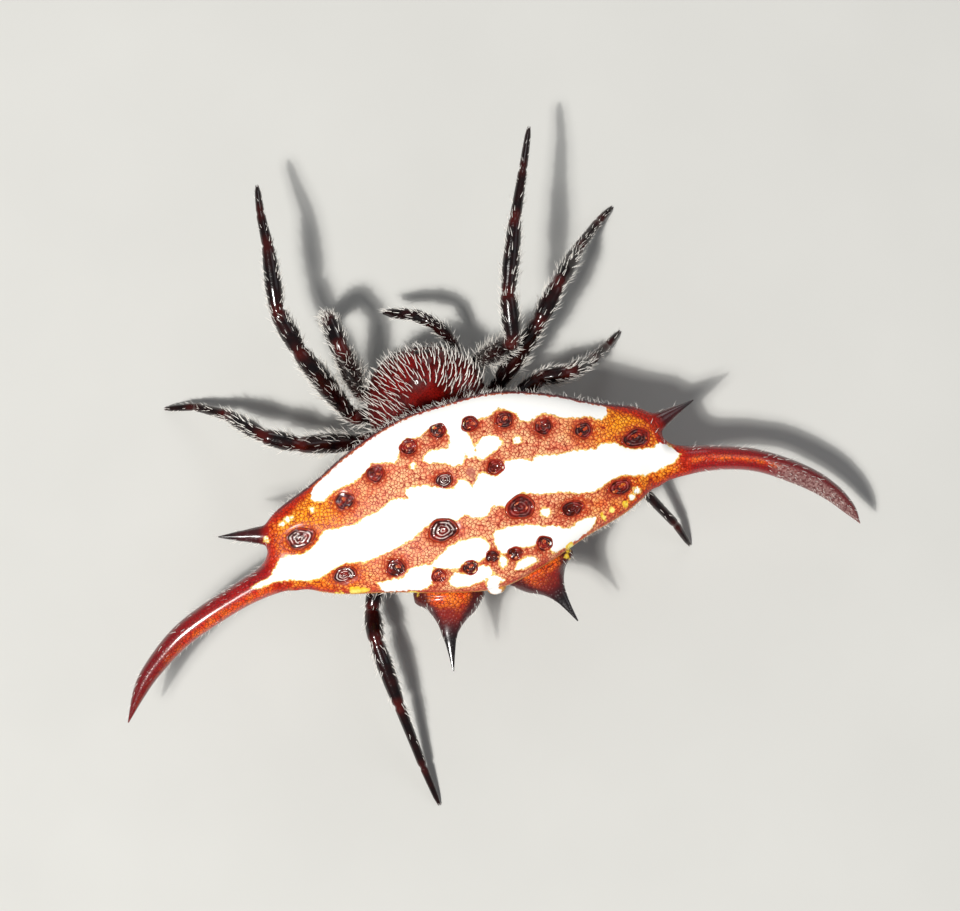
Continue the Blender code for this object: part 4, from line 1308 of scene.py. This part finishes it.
salmon = shell.mix(speckle.step(0.3, 0.7), ink(236, 128, 92), ink(252, 188, 136))
orange = shell.mix(speckle.step(0.3, 0.7), ink(238, 98, 16), ink(255, 150, 30))
ground = shell.mix((outward + (cloud - 0.5) * 0.6).step(0.35, 0.80), salmon, orange)
sunny = outward.step(0.60, 0.72) * (1 - outward.step(0.88, 0.95)) * forward.step(0.05, 0.4)
ground = shell.mix(sunny * 0.9, ground, shell.mix(speckle, ink(255, 128, 8), ink(255, 176, 30)))
red_depth = outward.step(0.65, 0.85) * (0.12 + forward.step(0.2, 0.6) * 0.14)
near_rim = rim - red_depth + (speckle - 0.5) * 0.3
edge_red = (1 - near_rim.step(0.0, 0.30)).most(outward.step(0.90, 0.99))
ground = shell.mix(edge_red, ground, shell.mix(speckle, ink(170, 20, 10), ink(222, 56, 18)))
ground = shell.mix(plate_edge.step(-0.24, -0.03) * 0.75, ground, ink(196, 62, 18))
lines_red = shell.mix(outward.step(0.5, 1.0), ink(150, 42, 26), ink(126, 20, 6))
# pale bead middles: partly the beads' own pale tone, partly a painted highlight on each bead's top
ground = shell.mix(middle * (1 - edge_red) * 0.55, ground,
                   shell.mix(outward.step(0.4, 0.8), ink(255, 216, 160), ink(255, 196, 70)))
ground = shell.mix(bead, lines_red, ground)
ground = shell.mix(shell.stored("pink").step(-0.05, 0.03) * 0.8, ground, ink(176, 96, 84))
front_rim = forward.step(0.80, 0.92) * (1 - rim.step(0.07, 0.14))
ground = shell.mix(front_rim * (1 - shoulder), ground, ink(84, 12, 30))
rear_rim = across_wire.step(0.80, 0.92) * (1 - rim.step(0.02, 0.09))
ground = shell.mix(rear_rim * (1 - shoulder), ground, ink(224, 160, 76))
print("shield ground is mixed")

# %% Shield: horns, spines, belly and the white bands
grit = 1 - shell.cells(0.095).step(0.0, 0.16)
crimson = shell.mix(horn.step(0.1, 0.9), ink(164, 8, 10), ink(112, 2, 12))
crimson = shell.mix(forward.step(0.45, 1.0) * 0.8, crimson, ink(92, 2, 10))
flame = shell.mix(speckle.step(0.3, 0.7), ink(222, 44, 8), ink(250, 112, 20))
horn_red = shell.mix(shell.stored("glow") * (1 - horn.step(0.40, 0.85) * 0.9), crimson, flame)
horn_red = shell.mix(grit * 0.8, horn_red, ink(96, 4, 6))
dull = shell.mix(shell.noise(0.07, 3.0).step(0.3, 0.7), ink(84, 36, 40), ink(170, 138, 132))
horn_red = shell.mix(grey * 0.85, horn_red, dull)
colour = shell.mix(horn.step(0.0, 0.07), ground, horn_red)

granule = shell.mix(speckle.step(0.3, 0.7), ink(222, 62, 10), ink(255, 128, 30))
granule = shell.mix(bead, ink(112, 18, 8), granule)
granule = shell.mix((spine + (cloud - 0.5) * 0.2).step(0.26, 0.42) * 0.9, granule, ink(120, 12, 12))
side_dark = (shell.stored("flank") + (speckle - 0.5) * 0.25).step(0.42, 0.74)
granule = shell.mix(side_dark * 0.95, granule, ink(60, 3, 12))
spine_colour = shell.mix((spine + (speckle - 0.5) * 0.1).step(0.42, 0.58), granule, ink(70, 8, 14))
spine_colour = shell.mix(spine.step(0.50, 0.70), spine_colour, ink(14, 3, 5))
small = shell.mix(spine.step(0.10, 0.36), ink(168, 26, 12), ink(60, 5, 10))
small = shell.mix(spine.step(0.55, 0.85), small, ink(26, 4, 8))
spine_colour = shell.mix(shell.stored("front_spine"), spine_colour, small)
colour = shell.mix(spine.step(0.02, 0.10), colour, spine_colour)

belly = shell.mix(shell.noise(0.5, 4.0).step(0.60, 0.66), ink(34, 18, 14), ink(206, 168, 66))
colour = shell.mix(under, colour, belly)
from_rim = (rim - forward.step(0.3, 0.6) * 0.2).step(0.08, 0.22)
colour = shell.mix(fringe * (from_rim * 0.75), colour, ink(255, 226, 120))
# white bands, islands and spots, with the painted highlights among the spots
colour = shell.mix(white_here, colour, shell.mix(cloud, ink(252, 251, 246), ink(255, 255, 254)))
yellow_here = (yellow + (speckle - 0.5) * 0.35 + ragged * 0.5).step(-0.02, 0.03)
yellow_ink = shell.mix(yellow.step(0.0, 0.10), ink(244, 200, 50), ink(254, 244, 140))
colour = shell.mix(yellow_here, colour, yellow_ink)
shell.give("Base Color", colour)
on_horn = horn.step(0.0, 0.1)
plain = 1 - white_here
shell.give("Roughness", 0.34 + white_here * 0.16 - on_horn * 0.14 + grey * 0.25
           + shell.noise(0.2) * 0.10)
grain = dome * plain * (1 - on_horn) - grit * on_horn * 0.3
turned = shell.bump(shell.stored("tilt"), 1.0)
fine_grain = shell.bump(shell.noise(0.05, 3.0) * (plain * 0.9 + 0.1), 0.006, turned)
shell.give("Normal", shell.bump(grain, 0.020, fine_grain))
polished = on_horn.most(spine.step(0.2, 0.4)) * 0.85
shell.gloss(polished * (1 - grey * 0.9) + 0.15, 0.18, 0.2)
shell.give("Coat IOR", 1.6)
print("shield finish:", len(shell.tree.nodes), "nodes")

# %% Sigilla
RING_WIDTH = 0.125
dish_finish = finishes["sigilla_shell"]
ring, pale = dish_finish.stored("ring"), dish_finish.stored("pale")
blotch = dish_finish.noise(0.30)
dark = dish_finish.mix(blotch.step(0.42, 0.68), ink(62, 6, 4), ink(150, 26, 10))
dark = dish_finish.mix(ring.step(0.78, 0.98) * 0.75, dark, ink(186, 58, 20))
wave = dish_finish.node("ShaderNodeMath", {"operation": "PINGPONG"}, {0: ring, 1: RING_WIDTH})
dark = dish_finish.mix((1 - wave.step(0.0, 0.05)) * 0.75, dark, ink(34, 4, 4))
gaps = dish_finish.noise(0.16, 2.0).step(0.40, 0.55)
# pale broken rings: partly the plate's own pale middle, partly painted highlights on its rings,
# strongest on the pale plates
pale_rings_and_glints = wave.step(0.06, 0.11) * gaps * (1 - ring.step(0.70, 0.90))
dish_finish.give("Base Color", dish_finish.mix(pale_rings_and_glints * (pale * 0.72 + 0.10), dark, ink(240, 220, 212)))
dish_finish.give("Roughness", 0.34 + dish_finish.noise(0.08) * 0.12)
dish_finish.give("Normal", dish_finish.bump(dish_finish.noise(0.09, 3.0), 0.05))
dish_finish.gloss(0.6, 0.06, 0.1)
print("sigilla finish:", len(dish_finish.tree.nodes), "nodes")

# %% Carapace, legs, jaws and belly
head = finishes["carapace_shell"]
patch = head.noise(0.45, 4.0)
red = head.mix(patch.step(0.3, 0.7), ink(70, 3, 2), ink(124, 10, 6))
red = head.mix(head.stored("edge") * 0.7, red, ink(46, 4, 4))
pores = head.cells(0.075)
head.give("Base Color", head.mix(pores.step(0.0, 0.12), ink(60, 4, 3), red))
head.give("Roughness", 0.44 + patch * 0.10)
head.give("Normal", head.bump(pores.step(0.0, 0.3), 0.0015, head.bump(patch, 0.05)))
head.gloss(0.5, 0.05, 0.08)

limb = finishes["leg_shell"]
stain = limb.noise(0.4, 4.0)
black = limb.mix(stain.step(0.35, 0.75), ink(9, 3, 4), ink(38, 7, 6))
black = limb.mix(limb.stored("joint") * 0.6, black, ink(84, 16, 10))
limb.give("Base Color", limb.mix(limb.stored("foot") * 0.5, black, ink(26, 10, 8)))
limb.give("Roughness", 0.14 + stain * 0.16)
leaned = limb.bump(limb.stored("lean"), 1.0)
limb.give("Normal", limb.bump(limb.noise(0.05, 2.0), 0.007, limb.bump(limb.noise(0.25), 0.012, leaned)))
limb.gloss(0.7, 0.10, 0.15)

jaw = finishes["jaw_shell"]
jaw.give("Base Color", jaw.mix(jaw.noise(0.3), ink(26, 6, 6), ink(66, 16, 12)))
jaw.give("Roughness", 0.18 + jaw.noise(0.1) * 0.12)
jaw.give("Normal", jaw.bump(jaw.noise(0.06, 2.0), 0.006))
jaw.gloss(0.2, 0.08, 0.2)

low = finishes["belly_shell"]
spots = low.noise(0.4, 3.0).step(0.62, 0.68)
low.give("Base Color", low.mix(spots, low.mix(low.noise(0.2), ink(26, 14, 12), ink(48, 26, 18)),
                               ink(196, 160, 70)))
low.give("Roughness", 0.34 + low.noise(0.1) * 0.16)
low.give("Normal", low.bump(low.noise(0.07, 3.0), 0.010))

glass = finishes["eye_glass"]
glass.give("Base Color", glass.mix(glass.noise(0.05), ink(10, 5, 5), ink(34, 14, 8)))
glass.give("Roughness", 0.04 + glass.noise(0.05) * 0.03)
glass.give("Coat Weight", 1.0)

pale_hair = finishes["hair"]
strand = pale_hair.noise(0.12, 2.0)
pale_hair.give("Base Color", pale_hair.mix(strand, ink(250, 243, 230), ink(255, 254, 251)))
pale_hair.give("Roughness", 0.26 + strand * 0.12)
print("finishes:", len(finishes))

# %% [markdown]
# ## Hair
# White hairs cover the head and legs, and a fine fringe stands along the shield's rims.
# Each hair is a thin three-sided needle with a bend of its own. It starts in the skin,
# leans the way the coat lies and ends in a point. Thousands are needed, so one rule makes
# them all: spread the roots over the skin, then bend each needle. On a flat sheet of the
# hair's own, each has a small patch at the place of its root.

# %% Spread the roots
def scatter(obj, thick, seed):
    """Random places on a mesh, as many a square millimetre as its points say."""
    mesh = obj.data
    mesh.calc_loop_triangles()
    corners = np.empty(3 * len(mesh.loop_triangles), int)
    mesh.loop_triangles.foreach_get("vertices", corners)
    corners = corners.reshape(-1, 3)
    spots = points_of(obj)[corners]
    facing = np.cross(spots[:, 1] - spots[:, 0], spots[:, 2] - spots[:, 0])
    area = np.linalg.norm(facing, axis=1) / 2
    random = np.random.default_rng(seed)
    wanted = area * thick[corners].mean(1)
    count = np.floor(wanted + random.random(len(wanted))).astype(int)
    chosen = np.repeat(np.arange(len(area)), count)
    first, second = random.random((2, len(chosen)))
    over = first + second > 1
    first[over], second[over] = 1 - first[over], 1 - second[over]
    weights = np.column_stack((1 - first - second, first, second))
    roots = (spots[chosen] * weights[..., None]).sum(1)
    normals = normals_of(obj)[corners[chosen]]
    normals = (normals * weights[..., None]).sum(1)
    normals /= np.linalg.norm(normals, axis=1)[:, None]
    return roots, normals, corners[chosen, 0]


def apart(roots, thinned, least):
    """Which roots to keep, so that the thinned ones stand at least this far from each other."""
    keep = ~thinned
    taken = np.empty((0, 3))
    for i in np.flatnonzero(thinned):
        if len(taken) == 0 or np.linalg.norm(taken - roots[i], axis=1).min() > least:
            keep[i] = True
            taken = np.vstack((taken, roots[i]))
    return keep


SHEET_COLUMNS = 5
STRIP_EDGE = 0.04
STRIP_SIZE = 0.92


def unwrap(part, share, roots):
    """A place on a flat sheet for each root: a strip a part, along it and round it."""
    rows = -(-len(ALL_PARTS) // SHEET_COLUMNS)
    flat = np.empty((len(roots), 2))
    for p in np.unique(part):
        mine = part == p
        line, shares = lines[ALL_PARTS[p]]
        at = np.column_stack([np.interp(share[mine], shares, line[:, k]) for k in range(3)])
        on = line[-1] - line[0]
        steep = abs(on[2]) >= 0.9 * np.linalg.norm(on)
        flat_side = (1.0, 0, 0) if steep else np.cross(on, (0, 0, 1.0))
        flat_side = flat_side / np.linalg.norm(flat_side)
        up = np.cross(flat_side, on / np.linalg.norm(on))
        gap = roots[mine] - at
        angle = np.arctan2(gap @ up, gap @ flat_side) / (2 * math.pi) + 0.5
        flat[mine, 0] = (p % SHEET_COLUMNS + STRIP_EDGE + STRIP_SIZE * share[mine]) / SHEET_COLUMNS
        flat[mine, 1] = (p // SHEET_COLUMNS + STRIP_EDGE + STRIP_SIZE * angle) / rows
    return flat


print("parts on the sheet:", len(ALL_PARTS))

# %% Bend the needles
# the thickness of each ring of a needle, its sides and its points, tip and all
TAPER = (0.75, 1.0, 0.85, 0.5)
RINGS = len(TAPER)
SIDES = 3
POINTS = RINGS * SIDES + 1
ROOT_DEPTH = 0.02
PATCH_SIZE = 0.003


def needles(name, roots, normals, lies, length, width, lean, bend, sway, patches):
    """One mesh of closed needles, each from its root to its point."""
    lies = lies - normals * (lies * normals).sum(1)[:, None]
    lies /= np.linalg.norm(lies, axis=1)[:, None]
    sideways = np.cross(normals, lies)
    at = roots - normals * ROOT_DEPTH
    rings = []
    for k in range(RINGS + 1):
        s = k / RINGS
        angle = (lean + bend * s)[:, None]
        turn = (sway * math.sin(math.pi * s))[:, None]
        ahead = lies * np.cos(turn) + sideways * np.sin(turn)
        ahead = ahead * np.cos(angle) + normals * np.sin(angle)
        upright = np.cross(ahead, sideways)
        if k < RINGS:
            radius = (width / 2 * TAPER[k])[:, None]
            for corner in range(SIDES):
                around = corner * 2 * math.pi / SIDES
                rings.append(at + (sideways * math.cos(around) + upright * math.sin(around)) * radius)
        else:
            rings.append(at)
        at = at + ahead * (length / RINGS)[:, None]
    spots = np.stack(rings, axis=1).reshape(-1, 3)
    faces = [(2, 1, 0)]
    for k in range(RINGS - 1):
        low, high = SIDES * k, SIDES * (k + 1)
        for j in range(SIDES):
            n = (j + 1) % SIDES
            faces.append((low + j, low + n, high + n, high + j))
    high = SIDES * (RINGS - 1)
    faces += [(high + j, high + (j + 1) % SIDES, POINTS - 1) for j in range(SIDES)]
    all_faces = [tuple(POINTS * i + v for v in face) for i in range(len(roots)) for face in faces]
    obj = mesh_object(name, spots, all_faces, finishes["hair"])
    edit_all(obj)
    close_outwards()
    bpy.ops.object.shade_smooth()
    corners = np.empty(len(obj.data.loops), int)
    obj.data.loops.foreach_get("vertex_index", corners)
    local = corners % POINTS
    offset = np.column_stack((local // SIDES / RINGS - 0.5, local % SIDES / SIDES - 0.5)) * PATCH_SIZE
    layer = obj.data.uv_layers.new(name="OFBake")
    layer.data.foreach_set("uv", (patches[corners // POINTS] + offset).ravel())
    return obj


print("needles are ready")

# %% Hair on the front half
def pick(values, low, high, random):
    """Each hair's value times a random number between two limits."""
    return values * random.uniform(low, high, len(values))


def direction_on(part, place):
    """For each hair, the way its part's middle line runs beside it."""
    lies = np.empty((len(part), 3))
    for p in np.unique(part):
        mine = part == p
        lies[mine] = np.gradient(lines[ALL_PARTS[p]][0], axis=0)[place[mine]]
    return lies


# hairs a square millimetre, what feet, rear legs and a leg's shiny crest take off the legs'
# hairs, and the least gap between two hairs of the head
LEG_HAIR, PALP_HAIR, JAW_HAIR, BREAST_HAIR, HEAD_HAIR = 56, 46, 12, 8, 120
FOOT_THINNING, REAR_THINNING, CREST_THINNING = 26, 26, 0.92
HEAD_GAP = 0.130
# half width and half length of the bare patch on the carapace
BARE = (0.78, 0.42)
# lengths of hairs, and how much shorter they are near the face and on the feet, and longer
# near the body
HEAD_LENGTH, LEG_LENGTH, PALP_LENGTH, JAW_LENGTH = 0.46, 0.30, 0.26, 0.17
FACE_SHORTER, FOOT_SHORTER, THIGH_LONGER = 0.16, 0.14, 0.10
# their widths, and how much thinner they are there
HEAD_WIDTH, LEG_WIDTH = 0.036, 0.023
FACE_THINNER, FOOT_THINNER = 0.010, 0.006

names = np.array(ALL_PARTS)[part]
is_leg = np.isin(names, LEG_PARTS)
is_palp = np.char.startswith(names, "palp")
is_jaw = np.char.startswith(names, "jaw")
is_rear_leg = np.char.endswith(names, "_4")
crest = ramp(normals_of(skin)[:, 2], 0.70, 0.90)
thick = (LEG_HAIR - FOOT_THINNING * foot - REAR_THINNING * is_rear_leg) * (1 - CREST_THINNING * crest)
for mine, hairs_there in ((~is_leg, 0), (is_palp, PALP_HAIR), (is_jaw, JAW_HAIR),
                          (names == "breast_plate", BREAST_HAIR)):
    thick = np.where(mine, hairs_there, thick)
bare = 1 - ramp(np.hypot((side + 0.05) / BARE[0], (ahead + 0.12) / BARE[1]), 0.75, 1.05)
top = ramp(normals_of(skin)[:, 2], -0.1, 0.2)
thick = np.where(on_head, HEAD_HAIR * top * (1 - bare), thick)

roots, normals, nearest = scatter(skin, thick, 7)
random = np.random.default_rng(8)
order = random.permutation(len(roots))
roots, normals, nearest = roots[order], normals[order], nearest[order]
keep = apart(roots, on_head[nearest], HEAD_GAP)
roots, normals, nearest = roots[keep], normals[keep], nearest[keep]
root_part, root_share = part[nearest], share[nearest]
lies = direction_on(root_part, place[nearest])
head_hair = on_head[nearest]
lies[head_hair] = np.array(AHEAD) + np.outer(side[nearest[head_hair]] * 0.42, sidelong)
lies /= np.linalg.norm(lies, axis=1)[:, None]
lies += random.normal(0, 1, lies.shape) * np.where(head_hair, 0.06, 0.20)[:, None]
near_face = ramp(ahead[nearest], 1.0, 1.6)
on_thigh = 1 - ramp(root_share, 0.25, 0.45)
size = np.where(head_hair, HEAD_LENGTH - FACE_SHORTER * near_face,
                LEG_LENGTH - FOOT_SHORTER * foot[nearest] + THIGH_LONGER * on_thigh)
size = np.where(is_palp[nearest], PALP_LENGTH, size)
size = np.where(is_jaw[nearest], JAW_LENGTH, size)
length = pick(size, 0.7, 1.25, random)
width = np.where(head_hair, HEAD_WIDTH - FACE_THINNER * near_face,
                 LEG_WIDTH - FOOT_THINNER * foot[nearest])
lean = random.uniform(0.35, 0.85, len(roots))
bend = random.uniform(-0.8, 0.1, len(roots))
sway = np.where(head_hair, random.normal(0.45, 0.22, len(roots)), random.normal(0, 0.2, len(roots)))
patches = unwrap(root_part, root_share, roots)
hairs = []
for word, mine in (("legs", is_leg[nearest]), ("head", ~is_leg[nearest])):
    hairs.append(needles(f"hair_{word}", roots[mine], normals[mine], lies[mine], length[mine],
                         width[mine], lean[mine], bend[mine], sway[mine], patches[mine]))
    print("hairs on the", word, int(mine.sum()))

# %% Hair on the shield
# hairs a square millimetre
RIM_HAIR, SPINE_HAIR, HORN_REAR_HAIR, CONE_HAIR, BELLY_HAIR = 70, 22, 10, 14, 5
# the fringe's hairs, and how much smaller they are on the right horn's blunt grey half
FRINGE_LENGTH, BLUNT_SHORTER = 0.24, 0.12
FRINGE_WIDTH, BLUNT_THINNER = 0.014, 0.003
points = points_of(shield)
part, place = assign(points, SHIELD_PARTS[:1], {})
cone_place = with_finish(shield, "belly_shell")
part[cone_place] = ALL_PARTS.index("spinneret_cone")
place[cone_place] = nearest_on(points[cone_place], lines["spinneret_cone"][0])[0]
for name in SHIELD_PARTS[1:5]:
    index, gap = nearest_on(points, lines[name][0])
    mine = on_spine & (gap < 1.0)
    part[mine], place[mine] = ALL_PARTS.index(name), index[mine]
share = np.array([lines[ALL_PARTS[p]][1][i] for p, i in zip(part, place)])
margin = 1 - ramp(np.abs(np.abs(across) - 0.985), 0.0, 0.05)
horn_here = ramp(side_reach, HORN_COLOUR_FROM, HORN_COLOUR_FROM + 0.7)
between = (across > 0) * (1 - ramp(side_reach, 2.6, 2.9))
thick = RIM_HAIR * margin * (1 - horn_here) * (lift > -0.35) * (1 - between)
blunt_half = ramp(-points[:, 0], 8.8, 9.5) * ramp(across, -0.6, 0.0)
thick += horn_here * (SPINE_HAIR * ramp(-across, 0.2, 0.9) + HORN_REAR_HAIR * ramp(across, 0.6, 0.95)
                      + RIM_HAIR * blunt_half)
spine_hair = SPINE_HAIR * ramp(spine_share, 0.15, 0.35) * ramp(flank, 0.6, 0.95)
thick = np.where(on_spine, spine_hair, thick)
thick = np.where(cone_place, CONE_HAIR, thick)
thick = thick + BELLY_HAIR * ramp(-lift, 0.5, 0.9)
roots, normals, nearest = scatter(shield, thick, 9)
random = np.random.default_rng(10)
lies = direction_on(part[nearest], place[nearest])
is_shield = part[nearest] == ALL_PARTS.index("shield")
lies[is_shield] *= np.sign(roots[is_shield, :1])
lies /= np.linalg.norm(lies, axis=1)[:, None]
at_rim = is_shield & (horn_here[nearest] < 0.5)
outwards = backward[::LINE_STEP][place[nearest]] * np.sign(across[nearest])[:, None]
lies[at_rim] = lies[at_rim] * 0.35 + outwards[at_rim]
lies += random.normal(0, 0.25, lies.shape)
short = blunt_half[nearest]
length = pick(FRINGE_LENGTH - BLUNT_SHORTER * short, 0.6, 1.3, random)
width = FRINGE_WIDTH - BLUNT_THINNER * short
lean = random.uniform(0.3, 0.9, len(roots))
bend = random.uniform(-0.6, 0.1, len(roots))
sway = random.normal(0, 0.2, len(roots))
patches = unwrap(part[nearest], share[nearest], roots)
hairs.append(needles("hair_shield", roots, normals, lies, length, width, lean, bend, sway,
                     patches))
print("hairs on the shield:", len(roots))

# %% [markdown]
# ## Hand everything to the frame
# Each piece rides on the model's one body. The skins take the place of the solids that they
# cover, and the rest are added to them.

# %% Ride and replace
SHIELD_NODES = ("abdomen", "horn_left", "horn_right", "front_spine_left", "front_spine_right",
                "rear_spine_left", "rear_spine_right", "spinnerets")
PIECES = ((shield, "shield"), (skin, "limb"), (sigilla, "shield"), (eyes, "eye"),
          (eye_rims, "jaw"), (claws, "limb"), (fangs[0], "jaw"), (fangs[1], "jaw"),
          *[(hair, "hair") for hair in hairs])
for piece, slot in PIECES:
    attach(piece, "root")
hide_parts(*SHIELD_NODES)
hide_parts(*[name for name in NODES if name not in SHIELD_NODES])
total = 0
for piece, _ in PIECES:
    piece.data.calc_loop_triangles()
    total += len(piece.data.loop_triangles)
    print(piece.name, len(piece.data.loop_triangles), "triangles")
print("triangles in all:", total)

# %% The end
print("the scene is built")
